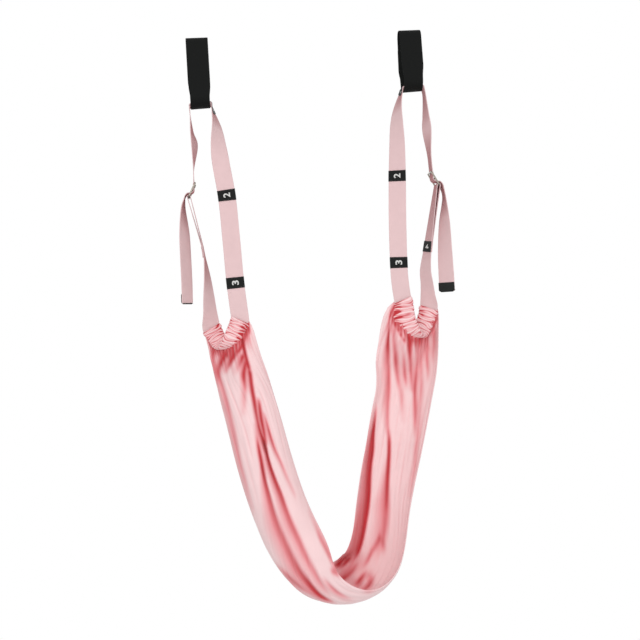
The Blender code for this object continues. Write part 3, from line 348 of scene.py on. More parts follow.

# Folds of the cloth that face the viewer, each with a painted shade. Each has its depth and how far its
# slopes and its painted shade reach to the left and to the right in the photograph, in millimetres, then
# its way down the cloth: pixels of the 640 x 640 photograph, each with how deep the fold and its painted
# shade are there, from 0 to 1, and its width's share where that isn't 1.
PHOTO_FOLDS = {
    "left_edge": (6.0, 9.0, 2.5, (
        (217, 366, 0.3), (219, 375, 0.5), (224, 390, 0.42), (228, 405, 0.45), (231.5, 420, 0.42),
        (235, 435, 0.45), (238, 450, 0.4), (241, 465, 0.36), (245, 480, 0.3), (248.5, 495, 0.25),
        (253, 510, 0.15),
    )),
    "left_gather_one": (4.0, 3.5, 3.0, ((213.5, 351, 0.7), (213, 361, 0.5), (215, 372, 0.3))),
    "left_gather_two": (6.0, 6.0, 3.0, (
        (226, 355, 1.0), (221.5, 363, 0.9), (219, 372, 0.5), (218, 380, 0.2),
    )),
    "left_gather_three": (5.0, 6.0, 2.5, ((235, 355, 1.0), (231, 362, 0.85), (226.5, 371, 0.3))),
    "left_gather_four": (5.0, 5.0, 2.5, ((243, 357, 1.0), (241, 362, 0.7), (237, 372, 0.15))),
    "left_gather_five": (6.0, 5.0, 3.5, (
        (245.5, 363, 0.8), (244, 375, 0.95), (245, 386, 0.55), (244.5, 398, 0.3), (243.5, 413, 0.15),
    )),
    "left_neck_gap": (7.0, 3.0, 2.5, ((243, 340, 1.0), (244, 348, 1.0), (246, 357, 0.9), (249, 368, 0.9))),
    "left_neck_pit": (4.0, 2.2, 2.2, (
        (241, 334, 0.5), (242, 339, 1.0), (242, 345, 1.0), (240, 349, 1.0), (238, 352, 0.9),
        (236.5, 354, 0.2),
    )),
    "left_main_valley": (9.0, 3.5, 2.5, (
        (250, 372, 1.0), (252, 388, 1.0), (254.5, 402, 0.9), (257, 418, 0.7), (260.5, 433, 0.85),
        (266, 450, 1.0),
    )),
    "left_split_line": (5.0, 2.5, 2.5, (
        (258.5, 400, 0.5), (259.5, 406, 0.85), (261, 418, 1.0), (263.5, 430, 0.9), (266, 443, 0.7),
    )),
    "left_first_start": (5.0, 3.0, 2.5, (
        (255.5, 425, 0.2), (257, 436, 0.4), (259, 449, 0.9), (262, 464, 1.0), (265, 478, 0.5),
    )),
    "left_first_valley": (13.0, 16.0, 3.0, (
        (262, 465, 0.5, 0.2), (265.5, 480, 0.72, 0.4), (269.5, 495, 0.64, 0.6), (273.5, 510, 0.58, 0.8),
        (278.5, 525, 0.54), (285, 540, 0.54), (292, 555, 0.57), (300, 570, 0.62), (307, 579, 0.75, 0.8),
        (312.5, 586, 0.9, 0.6), (321, 595, 1.0, 0.4), (330, 600, 0.6, 0.3),
    )),
    "left_second_valley": (12.0, 14.0, 3.5, (
        (264.5, 441, 0.9, 0.25), (266.5, 450, 1.0, 0.3), (270, 464, 0.9, 0.4), (275.5, 480, 0.8, 0.5),
        (281.5, 495, 0.68, 0.65), (286.5, 510, 0.57, 0.8), (292.5, 525, 0.51), (299.5, 540, 0.46),
        (306, 555, 0.42), (314, 570, 0.36), (321, 583, 0.31), (328, 592, 0.2),
    )),
    "left_third_valley": (4.0, 3.5, 2.0, (
        (264, 414, 0.3), (267, 424, 0.6), (270, 435, 0.75), (275, 450, 0.6), (282, 465, 0.38),
        (288, 480, 0.28), (295, 495, 0.15),
    )),
    "left_lip_shade": (4.0, 2.5, 7.0, (
        (309, 512, 0.1), (316, 528, 0.25), (319.5, 537, 0.4), (326, 550, 0.5), (331, 559.5, 0.5),
        (336, 569, 0.4),
    )),
    "keel_line": (4.0, 4.5, 2.0, (
        (277, 565, 0.2), (287, 574.5, 0.6), (295.5, 582.5, 0.65), (302.5, 588, 0.5), (312, 594, 0.2),
    )),
    "front_lip_fold": (4.0, 5.0, 2.5, (
        (325, 580, 0.2), (335, 590, 0.5), (343, 596, 0.35), (351, 600, 0.1),
    )),
    "right_rear_start": (6.5, 8.0, 2.5, (
        (390, 322, 0.3, 0.3), (389, 332, 0.7, 0.3), (388.5, 343, 1.0, 0.5), (388.5, 350, 0.8, 0.8),
        (388.5, 360, 0.6), (389, 375, 0.55), (389, 390, 0.52), (388, 405, 0.45), (388, 420, 0.35, 0.8),
        (388.5, 432, 0.4, 0.4),
    )),
    "right_rear_line": (5.0, 2.5, 2.5, (
        (388.5, 432, 0.4), (389, 442, 0.9), (389, 452, 1.0), (388.5, 466, 1.0), (387.5, 480, 0.85),
        (387, 495, 0.6), (386.5, 508, 0.3),
    )),
    "right_rear_valley": (9.0, 15.0, 5.0, (
        (388, 460, 0.2, 0.3), (387.5, 475, 0.42, 0.5), (387, 490, 0.55, 0.7), (386.5, 505, 0.55),
        (386, 520, 0.5), (384, 535, 0.45), (381, 550, 0.25),
    )),
    "right_middle_valley": (9.0, 11.0, 2.5, (
        (376.5, 408, 0.2, 0.5), (375, 420, 0.6, 0.5), (373.5, 434, 1.0, 0.6), (372.5, 450, 1.0),
        (370.5, 465, 1.0), (369.5, 480, 1.0), (369, 495, 1.0), (367.5, 510, 1.0), (365, 525, 0.95),
        (362, 540, 0.95), (359, 550, 0.92), (356, 557, 0.5),
    )),
    # A broad painted shade, over a fold only 1 mm deep
    "right_strip": (1.0, 14.0, 6.0, (
        (362, 478, 0.1), (361, 495, 0.25), (360, 510, 0.4), (357, 525, 0.5), (354, 540, 0.5),
        (352, 550, 0.45),
    )),
    "right_fan_one": (5.0, 3.0, 5.0, (
        (393, 330, 0.3), (394, 344, 0.5), (395, 353, 0.65), (395.5, 361, 0.75), (397, 375, 0.5),
        (400, 390, 0.32), (402, 405, 0.2), (403, 420, 0.1),
    )),
    "right_fan_two": (5.0, 3.5, 3.0, (
        (401, 343, 0.2), (403, 352, 0.25), (404, 360, 0.45), (405, 375, 0.6), (407, 388, 0.1),
    )),
    "right_fan_three": (6.0, 3.0, 4.0, (
        (408, 336, 0.8), (409, 341, 1.0), (409, 346, 1.0), (410, 359, 0.65), (411, 375, 0.55),
        (412, 390, 0.25),
    )),
    "right_fan_four": (5.0, 3.0, 3.5, (
        (417, 340, 0.5), (417, 350, 0.4), (417, 360, 0.4), (416, 375, 0.6), (415, 390, 0.65),
        (415, 405, 0.6), (415, 420, 0.4), (415, 435, 0.15),
    )),
    "right_fan_five": (4.0, 3.5, 4.0, (
        (422, 336, 0.4), (422, 345, 0.3), (421, 360, 0.35), (421, 375, 0.35), (421, 390, 0.35),
        (420, 405, 0.3), (419, 420, 0.3), (418, 435, 0.3), (416, 450, 0.35), (415, 465, 0.3),
        (412, 480, 0.22), (410, 495, 0.1),
    )),
    "right_fan_six": (4.0, 2.5, 3.0, (
        (427, 340, 0.3), (427, 360, 0.45), (428, 371, 0.3), (427.5, 380, 0.1),
    )),
    "right_seam_pits": (2.5, 1.6, 1.6, (
        (394, 321.5, 0.3), (395.5, 325, 1.0), (396.8, 327.3, 0.2), (398.2, 330, 1.0), (399.6, 332.2, 0.2),
        (401, 335, 1.0), (402.5, 337.3, 0.2), (404, 340, 1.0), (405.5, 342, 0.1),
    )),
    "right_seam_pit_one": (3.0, 1.6, 1.6, ((408.5, 338, 1.0), (409.5, 342, 1.0), (410.5, 346, 0.3))),
    "right_seam_pit_two": (3.0, 1.6, 1.6, (
        (412.5, 340, 1.0), (415, 341, 0.3), (418, 339.5, 1.0), (420, 341, 0.2),
    )),
    "right_edge": (4.0, 2.5, 4.0, ((434, 332, 0.35), (434, 345, 0.35), (433, 360, 0.1))),
    "right_bend_crease": (5.0, 3.5, 2.0, (
        (380, 538, 0.6), (376.5, 545, 0.6), (373, 550, 0.6), (370, 556, 0.55), (367.5, 561, 0.5),
        (364, 566, 0.2),
    )),
    "right_bend_arch": (4.0, 2.0, 3.0, ((379.5, 538.5, 0.4), (383, 543, 0.4), (384.5, 551, 0.2))),
    # A broad painted shade, over a fold only 2 mm deep
    "right_panel": (2.0, 12.0, 12.0, ((343, 571, 0.3), (352, 569, 0.3), (360, 562, 0.2))),
    "right_lip_inside": (4.5, 3.0, 3.0, (
        (335, 571, 1.0), (339, 574, 0.85), (344, 577, 0.6), (350, 580.5, 0.45), (357, 583.5, 0.7),
        (364, 588.5, 0.7), (371, 590.5, 0.3),
    )),
    "corner_hollow": (6.5, 4.5, 4.5, (
        (334.5, 571, 1.0), (337.5, 566, 1.0), (341, 561, 1.0), (345, 557.5, 0.9), (350, 553, 0.6),
    )),
    "corner_crease": (4.0, 2.5, 2.5, ((343, 566, 0.6), (347, 561, 1.0), (350, 558, 0.7))),
    "loop_fold": (4.0, 3.5, 3.5, (
        (357.5, 584, 0.7), (359.5, 581, 0.85), (362, 577, 0.8), (365.5, 574.5, 0.5), (369, 576, 0.7),
        (370.5, 580.5, 0.85), (369.5, 586, 0.85), (368, 591, 0.7),
    )),
}

# Folds under the seat, where the photograph doesn't see them: depth and slopes as above, then shares
# along and across the cloth, each with how deep the fold and its painted shade are there
HIDDEN_FOLDS = (
    (6.0, 8.0, 3.5, ((0.41, 0.75, 0.0), (0.45, 0.62, 0.7), (0.50, 0.55, 0.8), (0.54, 0.50, 0.0))),
    (5.0, 3.5, 7.0, ((0.43, 0.25, 0.0), (0.47, 0.15, 0.6), (0.505, 0.05, 0.6), (0.54, 0.0, 0.0))),
)

# Where the points of a webbing's cross line lie, closer together at its selvedges, and how thick the
# webbing is there
ACROSS_SHARES = np.array(
    (-1.0, -0.985, -0.95, -0.88, -0.72, -0.48, -0.24, 0.0, 0.24, 0.48, 0.72, 0.88, 0.95, 0.985, 1.0)
)
EDGE_PLACE_SHARES = (0.0, 0.95, 0.985, 1.0)
EDGE_THICKNESS_SHARES = (1.0, 1.0, 0.72, 0.30)

# Values that follow from the sizes above
HANGER_OUT = HANGER_SPACING / 2
HANGER_TOP = BAR_RADIUS + BAR_CLEARANCE + HANGER_THICKNESS
EYE_INNER_RADIUS = CROWN_RADIUS + STRAP_THICKNESS / 2 + CROWN_CLEARANCE
BAR_TURN = BAR_RADIUS + BAR_CLEARANCE + HANGER_THICKNESS / 2
EYE_TURN = EYE_INNER_RADIUS + HANGER_THICKNESS / 2
EDGE_SHARES = np.interp(np.abs(ACROSS_SHARES), EDGE_PLACE_SHARES, EDGE_THICKNESS_SHARES)[None, :, None]
OVERHANG_SHARE = 1 + 2 * LABEL_OVERHANG / STRAP_WIDTH
EYE_DROP = {
    side: HANGER_HEIGHT[side] - HANGER_TOP - EYE_INNER_RADIUS - HANGER_THICKNESS for side in SIDES
}
EYE_MEAN_DROP = (EYE_DROP["left"] + EYE_DROP["right"]) / 2
EYE_SLOPE = (EYE_DROP["left"] - EYE_DROP["right"]) / HANGER_SPACING
LEG_OUT = HANGER_EYE_WIDTH / 2 + CROWN_SIDE_GAP + STRAP_THICKNESS / 2
WRAP_RADIUS = BUCKLE_BAR / 2 + WEAVE_CLEARANCE + STRAP_THICKNESS / 2
PLY_STEP = STRAP_THICKNESS + SEAT_GAP
AXIS_HEIGHT = -AXIS_DROP
TOP_RADIUS = U_RADIUS + CHANNEL_HALF_DEPTH + RUCHE_DEPTH + CLOTH_CLEARANCE + CLOTH_THICKNESS / 2


def unit(vectors):
    """The vectors' directions, each one long."""
    return vectors / np.linalg.norm(vectors, axis=-1, keepdims=True)


def smoothstep(share):
    """0 below 0, 1 above 1 and a soft step between."""
    share = np.clip(share, 0.0, 1.0)
    return share * share * (3 - 2 * share)


def bell(off, reach):
    """A bell curve: 1 in its middle, and near 0 beyond twice its reach."""
    return np.exp(-((off / reach) ** 2))


def smooth(stations, steps):
    """Points on a Catmull-Rom curve through the stations, with the same number of steps in each span."""
    known = np.asarray(stations, float)
    padded = np.concatenate((2 * known[:1] - known[1:2], known, 2 * known[-1:] - known[-2:-1]))
    made = []
    for i in range(len(known) - 1):
        before, start, end, after = padded[i : i + 4]
        slope, bend = end - before, 2 * before - 5 * start + 4 * end - after
        twist = 3 * start - before - 3 * end + after
        for t in (k / steps for k in range(steps)):
            made.append(0.5 * (2 * start + slope * t + bend * t**2 + twist * t**3))
    made.append(known[-1])
    return made


def row_normals(rows):
    """Unit normals of a grid of points: along the rows' run, crossed with across them."""
    return unit(np.cross(np.gradient(rows, axis=0), np.gradient(rows, axis=1)))


def lengths_along(rows):
    """The length along the middle of a grid at which each of its rows lies."""
    middles = rows[:, rows.shape[1] // 2]
    steps = np.linalg.norm(np.diff(middles, axis=0), axis=1)
    return np.concatenate(((0.0,), np.cumsum(steps)))


# Meshes


def make_object(name, mesh, material):
    """Puts a finished mesh in the scene with its material."""
    made = bpy.data.objects.new(name, mesh)
    bpy.context.scene.collection.objects.link(made)
    mesh.materials.append(material)
    return made


def put_uv(mesh, places):
    """Gives the mesh a UV map from one place for each point."""
    layer = mesh.uv_layers.new(name="UVMap")
    index = np.zeros(len(mesh.loops), np.int32)
    mesh.loops.foreach_get("vertex_index", index)
    layer.data.foreach_set("uv", np.asarray(places)[index].astype(np.float32).ravel())


def walled(name, outer, inner, ids, rims, places):
    """A closed solid between two grids of points, shaded smooth, whose faces point out of it."""
    below = outer[..., 0].size
    face = np.stack((ids[:-1, :-1], ids[:-1, 1:], ids[1:, 1:], ids[1:, :-1]), axis=-1).reshape(-1, 4)
    quads = [face, face[:, ::-1] + below]
    for rim in rims:
        quads.append(np.stack((rim[:-1], rim[1:], rim[1:] + below, rim[:-1] + below), axis=-1))
    points = np.concatenate((outer.reshape(-1, 3), inner.reshape(-1, 3)))
    mesh = bpy.data.meshes.new(name)
    mesh.from_pydata(points.tolist(), [], np.concatenate(quads).tolist())
    work = bmesh.new()
    work.from_mesh(mesh)
    bmesh.ops.recalc_face_normals(work, faces=work.faces)
    work.to_mesh(mesh)
    work.free()
    put_uv(mesh, np.concatenate((places.reshape(-1, 2),) * 2))
    mesh.shade_smooth()
    return mesh


def slab(name, outer, inner, places, looped=0.0):
    """A closed sheet between two grids of points of the same size; looped is its length round a loop."""
    ids = np.arange(outer[..., 0].size).reshape(outer.shape[:2])
    if looped:
        ids = np.concatenate((ids, ids[:1]))
    rims = (ids[:, 0], ids[:, -1]) if looped else (ids[:, 0], ids[:, -1], ids[0], ids[-1])
    mesh = walled(name, outer, inner, ids, rims, places)
    if looped:
        layer = mesh.uv_layers[0].data
        values = np.zeros(2 * len(layer), np.float32)
        layer.foreach_get("uv", values)
        faces = values.reshape(-1, 4, 2)
        wraps = np.ptp(faces[:, :, 1], axis=1) > looped / 2
        faces[:, :, 1] += np.where(wraps[:, None] & (faces[:, :, 1] < looped / 2), looped, 0.0)
        layer.foreach_set("uv", faces.ravel())
    return mesh


def band(name, rows, thickness, lift=0.0, normals=None, width=STRAP_WIDTH):
    """A webbing or tape of even thickness with round selvedges, lifted off its grid along its normals."""
    if normals is None:
        normals = row_normals(rows)
    half = thickness / 2 * EDGE_SHARES
    across, along = np.broadcast_arrays(ACROSS_SHARES * width / 2, lengths_along(rows)[:, None])
    places = np.stack((across, along), axis=-1)
    return slab(name, rows + normals * (lift + half), rows + normals * (lift - half), places)


# Materials. A Mix node for colours has its factor at input 0, its two colours at inputs 6 and 7 and
# its result at output 2.


def linear(hex_colour):
    """A colour that is written as sRGB hex, in linear light."""
    parts = [int(hex_colour[i : i + 2], 16) / 255 for i in (1, 3, 5)]
    return tuple(c / 12.92 if c <= 0.04045 else ((c + 0.055) / 1.055) ** 2.4 for c in parts)


def add_node(tree, kind, inputs=(), output=0, **settings):
    """Adds a node with its settings, sets or links its inputs, and gives one of its outputs or all."""
    made = tree.nodes.new(kind)
    for name, value in settings.items():
        setattr(made, name, value)
    for key, value in inputs.items() if isinstance(inputs, dict) else enumerate(inputs):
        if isinstance(value, bpy.types.NodeSocket):
            tree.links.new(value, made.inputs[key])
        else:
            made.inputs[key].default_value = value
    return made.outputs if output is None else made.outputs[output]


def new_material(name, roughness, metallic=0.0, sheen=0.0, specular=0.5):
    """A material with its Principled shader, whose plain numbers stand on the shader's own sockets."""
    material = bpy.data.materials.new(name)
    material.use_nodes = True
    tree = material.node_tree
    shader = tree.nodes["Principled BSDF"]
    shader.inputs["Roughness"].default_value = roughness
    shader.inputs["Metallic"].default_value = metallic
    shader.inputs["Sheen Weight"].default_value = sheen
    shader.inputs["Sheen Roughness"].default_value = 0.5
    shader.inputs["Specular IOR Level"].default_value = specular
    return material, tree, shader


def weighed(tree, first, first_share, second, second_share):
    """The sum of a share of one value and a share of another."""
    part = add_node(tree, "ShaderNodeMath", (second, second_share), operation="MULTIPLY")
    return add_node(tree, "ShaderNodeMath", (first, first_share, part), operation="MULTIPLY_ADD")


def zigzag(tree, value, pitch):
    """A value that runs from 0 to 1 and back over each pitch."""
    swing = add_node(tree, "ShaderNodeMath", (value, pitch / 2), operation="PINGPONG")
    return add_node(tree, "ShaderNodeMath", (swing, pitch / 2), operation="DIVIDE")


def rgba(colour, share=1.0):
    """The colour, or a darker one of the same hue, as a shader takes it."""
    return (*(part * share for part in colour), 1.0)


def woven_places(tree):
    """How far across and how far along its webbing or cloth a point lies, in metres."""
    places = add_node(tree, "ShaderNodeUVMap", uv_map="UVMap")
    return add_node(tree, "ShaderNodeSeparateXYZ", (places,), output=None)[:2]


def speckle(tree, scale, detail):
    """Noise from 0 to 1 that keeps its place on the piece; the scale is in grains to a metre."""
    where = add_node(tree, "ShaderNodeTexCoord", output="Object")
    return add_node(tree, "ShaderNodeTexNoise", {"Vector": where, "Scale": scale, "Detail": detail})


def cover(tree, shader, colour, relief, strength, distance):
    """Gives a shader its pattern of colour, and its relief as bump."""
    tree.links.new(colour, shader.inputs["Base Color"])
    bump = add_node(tree, "ShaderNodeBump", {"Height": relief, "Strength": strength, "Distance": distance})
    tree.links.new(bump, shader.inputs["Normal"])


def webbing_material(name, colour, edge, low_share, roughness, specular):
    """Woven polyester webbing: chevron ribs of thick weft under fine warp, with painted shade in its low
    threads and where it turns away.
    """
    size = sizes()
    material, tree, shader = new_material(name, roughness, specular=specular)
    across, along = woven_places(tree)
    slant = add_node(tree, "ShaderNodeMath", (across, size.chevron / 2), operation="PINGPONG")
    slanted = add_node(tree, "ShaderNodeMath", (along, slant), operation="ADD")
    ribs, threads = zigzag(tree, slanted, size.weft_pitch), zigzag(tree, across, WARP_PITCH)
    relief = weighed(tree, ribs, 0.7, threads, 0.3)
    # The weave's pattern in colour: its low threads darker, as painted shade, with random tone from the
    # speckle
    tone = weighed(tree, relief, 0.6, speckle(tree, 60.0, 4.0), 0.4)
    tones = {0: tone, 6: rgba(colour, low_share), 7: rgba(colour)}
    shade = add_node(tree, "ShaderNodeMix", tones, output=2, data_type="RGBA")
    # Painted shade: where the webbing turns away from the viewer, its colour gives way to the darker edge
    # colour
    facing = add_node(tree, "ShaderNodeLayerWeight", {"Blend": 0.5}, output="Facing")
    turned = add_node(tree, "ShaderNodeMapRange", {"Value": facing, "From Min": 0.45, "From Max": 0.92})
    tones = {0: turned, 6: shade, 7: edge}
    both = add_node(tree, "ShaderNodeMix", tones, output=2, data_type="RGBA")
    cover(tree, shader, both, relief, 0.5, 0.3 * MM)
    return material


def label_material(name, colour):
    """Damask-woven polyester label: close satin ribs across it, with a faint shine."""
    material, tree, shader = new_material(name, 0.60, specular=0.15)
    ribs = zigzag(tree, woven_places(tree)[1], LABEL_RIB_PITCH)
    tones = {0: ribs, 6: rgba(colour, 0.7), 7: rgba(colour)}
    ribbed = add_node(tree, "ShaderNodeMix", tones, output=2, data_type="RGBA")
    cover(tree, shader, ribbed, ribs, 0.4, 0.15 * MM)
    return material


def thread_material(name, colour):
    """Spun polyester sewing thread: fine twist that catches a little light."""
    material, tree, shader = new_material(name, 0.6, sheen=0.2)
    twist = speckle(tree, 1800.0, 2.0)
    tones = {0: twist, 6: rgba(colour, 0.75), 7: rgba(colour)}
    twisted = add_node(tree, "ShaderNodeMix", tones, output=2, data_type="RGBA")
    cover(tree, shader, twisted, twist, 0.3, 0.1 * MM)
    return material


def nickel_material(name, colour):
    """Die-cast zinc with satin nickel plate: grey with a warm tint, slightly cloudy, soft shine."""
    material, tree, shader = new_material(name, 0.34, metallic=1.0)
    tones = {0: speckle(tree, 120.0, 5.0), 6: rgba(colour, 0.72), 7: rgba(colour)}
    cloudy = add_node(tree, "ShaderNodeMix", tones, output=2, data_type="RGBA")
    grain = speckle(tree, 1500.0, 2.0)
    rough = add_node(tree, "ShaderNodeMapRange", {"Value": grain, "To Min": 0.26, "To Max": 0.44})
    tree.links.new(rough, shader.inputs["Roughness"])
    cover(tree, shader, cloudy, grain, 0.08, 0.1 * MM)
    return material


def cloth_material(name, crest, slope, valley):
    """Warp-knitted nylon: fine wales, matt with a bloom; painted shade turns its colour darker and redder in
    the folds.
    """
    material, tree, shader = new_material(name, 0.85, sheen=0.20)
    # Painted shade that each mesh stores per point: 0 keeps the crest colour, 0.5 gives the slope colour and
    # 1 the darkest
    depth = add_node(tree, "ShaderNodeAttribute", output="Fac", attribute_name="painted_fold_shade")
    shade = rgba(crest)
    for limit, tone in (({"From Max": 0.5}, slope), ({"From Min": 0.5}, valley)):
        share = add_node(tree, "ShaderNodeMapRange", {"Value": depth, **limit})
        tones = {0: share, 6: shade, 7: rgba(tone)}
        shade = add_node(tree, "ShaderNodeMix", tones, output=2, data_type="RGBA")
    cloud = {"Value": speckle(tree, 25.0, 3.0), "To Min": 0.95, "To Max": 1.03}
    tint = add_node(tree, "ShaderNodeMapRange", cloud)
    toned = add_node(tree, "ShaderNodeVectorMath", {0: shade, "Scale": tint}, operation="SCALE")
    across, along = woven_places(tree)
    wales, courses = zigzag(tree, across, WALE_PITCH), zigzag(tree, along, COURSE_PITCH)
    shallow = add_node(tree, "ShaderNodeMath", (courses, 0.5, 0.5), operation="MULTIPLY_ADD")
    relief = add_node(tree, "ShaderNodeMath", (wales, shallow), operation="MULTIPLY")
    cover(tree, shader, toned, relief, 0.25, 0.2 * MM)
    return material


# Stitches and threads, made by Geometry Nodes along paths


def path_mesh(name, paths):
    """A mesh of bare edges along one or more open paths."""
    points, edges = [], []
    for path in paths:
        first = len(points)
        points += [tuple(point) for point in path]
        edges += [(first + k, first + k + 1) for k in range(len(path) - 1)]
    mesh = bpy.data.meshes.new(name)
    mesh.from_pydata(points, edges, [])
    return mesh


def new_tree(name, lengths):
    """A Geometry Nodes tree with inputs for its paths, its lengths and its material, and its start."""
    tree = bpy.data.node_groups.new(name, "GeometryNodeTree")
    face = tree.interface
    face.new_socket("Geometry", in_out="INPUT", socket_type="NodeSocketGeometry")
    for label, length in lengths.items():
        face.new_socket(label, in_out="INPUT", socket_type="NodeSocketFloat").default_value = length
    face.new_socket("Material", in_out="INPUT", socket_type="NodeSocketMaterial")
    face.new_socket("Geometry", in_out="OUTPUT", socket_type="NodeSocketGeometry")
    start = add_node(tree, "NodeGroupInput", output=None)
    return tree, start, add_node(tree, "GeometryNodeMeshToCurve", {"Mesh": start["Geometry"]})


def end_tree(tree, start, made):
    """Ends a tree with plain, smoothly shaded geometry in its material."""
    real = add_node(tree, "GeometryNodeRealizeInstances", {"Geometry": made})
    shaded = add_node(tree, "GeometryNodeSetShadeSmooth", {"Geometry": real})
    coloured = {"Geometry": shaded, "Material": start["Material"]}
    done = add_node(tree, "GeometryNodeSetMaterial", coloured)
    add_node(tree, "NodeGroupOutput", (done,), output=None)
    return tree


def stitch_tree():
    """Geometry Nodes: short rounded stitches at an even pitch along each path."""
    pitch, length, thread = WEBBING_SEAM
    tree, start, curve = new_tree("stitch_row", {"Pitch": pitch, "Length": length, "Thread": thread})
    spaced = {"Curve": curve, "Length": start["Pitch"]}
    points = add_node(tree, "GeometryNodeResampleCurve", spaced, mode="LENGTH")
    bead = add_node(tree, "GeometryNodeMeshUVSphere", {"Segments": 6, "Rings": 5, "Radius": 0.5})
    size = add_node(tree, "ShaderNodeCombineXYZ", (start["Thread"], start["Thread"], start["Length"]))
    tangent = add_node(tree, "GeometryNodeInputTangent")
    turn = add_node(tree, "FunctionNodeAlignRotationToVector", {"Vector": tangent}, axis="Z")
    stitch = {"Points": points, "Instance": bead, "Rotation": turn, "Scale": size}
    return end_tree(tree, start, add_node(tree, "GeometryNodeInstanceOnPoints", stitch))


def thread_tree():
    """Geometry Nodes: one round thread along each path."""
    tree, start, curve = new_tree("thread_run", {"Thread": TACK_THREAD})
    radius = add_node(tree, "ShaderNodeMath", (start["Thread"], 0.5), operation="MULTIPLY")
    ring = add_node(tree, "GeometryNodeCurvePrimitiveCircle", {"Resolution": 6, "Radius": radius})
    thread = {"Curve": curve, "Profile Curve": ring, "Fill Caps": True}
    return end_tree(tree, start, add_node(tree, "GeometryNodeCurveToMesh", thread))


def grown(name, paths, tree, material, **lengths):
    """The plain mesh object that a Geometry Nodes tree makes from paths."""
    made = bpy.data.objects.new(name, path_mesh(name, paths))
    bpy.context.scene.collection.objects.link(made)
    change = made.modifiers.new("Grow", "NODES")
    change.node_group = tree
    wanted = {"Material": material, **lengths}
    for item in tree.interface.items_tree:
        if item.in_out == "INPUT" and item.name in wanted:
            change[item.identifier] = wanted[item.name]
    bpy.context.view_layer.update()
    mesh = bpy.data.meshes.new_from_object(made.evaluated_get(bpy.context.evaluated_depsgraph_get()))
    made.modifiers.remove(change)
    made.data = mesh
    return made


def stitched(name, paths, material, pitch, length, thread):
    """Rows of stitches along paths."""
    tree = bpy.data.node_groups.get("stitch_row") or stitch_tree()
    return grown(name, paths, tree, material, Pitch=pitch, Length=length, Thread=thread)


def threaded(name, paths, material):
    """Unbroken threads along paths, such as the zigzag of a bar tack."""
    tree = bpy.data.node_groups.get("thread_run") or thread_tree()
    return grown(name, paths, tree, material, Thread=TACK_THREAD)


# Routes of the webbing


def place(side, out, depth, height):
    """A point that lies so far out from the middle of the swing, on the left or on the right."""
    return np.array((SIDES[side] * out, depth, height))


def knot(out, depth, height, turn, cup=0.0):
    """One cross line of a strap: its middle, its turn about the vertical and how far it is cupped."""
    return np.array((out, depth, height, turn, cup))


def strand(start, end, shares):
    """Knots along a strand between two knots, both ends included."""
    flatten_share = min(1.0, LEG_FLATTENS / abs(end[2] - start[2]))
    stations = [start]
    for along, aside, turn in shares:
        station = start + (end - start) * along
        station[0] += aside * STRAP_WIDTH
        station[3] = turn * QUARTER
        station[4] = start[4] + (end[4] - start[4]) * min(1.0, along / flatten_share)
        stations.append(station)
    stations.append(end)
    return smooth(stations, STRAND_STEPS)


def strap_rows(side, knots):
    """The grid of points of a strap that follows these knots."""
    knots = np.array(knots)
    mirror = SIDES[side]
    middles = knots[:, :3] * (mirror, 1.0, 1.0)
    runs = unit(np.gradient(middles, axis=0))
    turns, cups = knots[:, 3], knots[:, 4]
    hints = np.stack((-mirror * np.cos(turns), np.sin(turns), np.zeros_like(turns)), axis=1)
    wides = unit(hints - runs * np.sum(hints * runs, axis=1, keepdims=True))
    angles = ACROSS_SHARES * STRAP_WIDTH / 2 / CROWN_RADIUS
    flat = ACROSS_SHARES * STRAP_WIDTH / 2
    reach = flat + (CROWN_RADIUS * np.sin(angles) - flat) * cups[:, None]
    lift = CROWN_RADIUS * (1 - np.cos(angles)) * cups[:, None]
    rows = middles[:, None, :] + wides[:, None, :] * reach[:, :, None]
    rows[:, :, 2] += lift
    return rows


def in_buckle(side, along_share, across_share):
    """A place in the buckle, in shares of its pitch and of the strap's wrap radius."""
    centre = np.array((BUCKLE_OUT[side], -BUCKLE_DROP))
    along = np.array((-math.sin(BUCKLE_LEAN), math.cos(BUCKLE_LEAN)))
    across = np.array((math.cos(BUCKLE_LEAN), math.sin(BUCKLE_LEAN)))
    return centre + along * along_share * BUCKLE_PITCH + across * across_share * WRAP_RADIUS


def weave_knots(side):
    """From the strap's end in the buckle's lower slot to the outside of its top bar."""
    tail_end = in_buckle(side, *TAIL_END_SHARES)
    first = in_buckle(side, *WEAVE_SHARES[0])
    start = tail_end + unit(first - tail_end) * TAIL_END_GAP
    places = smooth([start] + [in_buckle(side, *shares) for shares in WEAVE_SHARES], 4)
    return [knot(out, 0.0, height, QUARTER) for out, height in places]


def eye_height(out, side):
    """Height of the line that both hanger eyes turn on."""
    return -EYE_MEAN_DROP + SIDES[side] * out * EYE_SLOPE


def crown_knots(side):
    """Over the black loop's bottom: up the outer leg's bend, across the eye and down the inner bend."""
    turns = np.linspace(0.0, QUARTER, 8)
    reach = LEG_OUT - CROWN_BEND
    rising = [
        (reach + CROWN_BEND * math.cos(t), -CROWN_RADIUS - CROWN_BEND * (1 - math.sin(t))) for t in turns
    ]
    level = [(reach * share, -CROWN_RADIUS) for share in np.linspace(1.0, -1.0, 9)[1:-1]]
    bends = rising + level + [(-out, drop) for out, drop in reversed(rising)]
    return [
        knot(HANGER_OUT + out, 0.0, eye_height(HANGER_OUT + out, side) + drop, QUARTER, 1.0)
        for out, drop in bends
    ]


def channel_runs(side):
    """The lengths of the channel's front run, of its round bottom and of its rear run."""
    return (AXIS_DROP - FRONT_MOUTH[side][1], math.pi * U_RADIUS, AXIS_DROP - REAR_MOUTH[side][1])


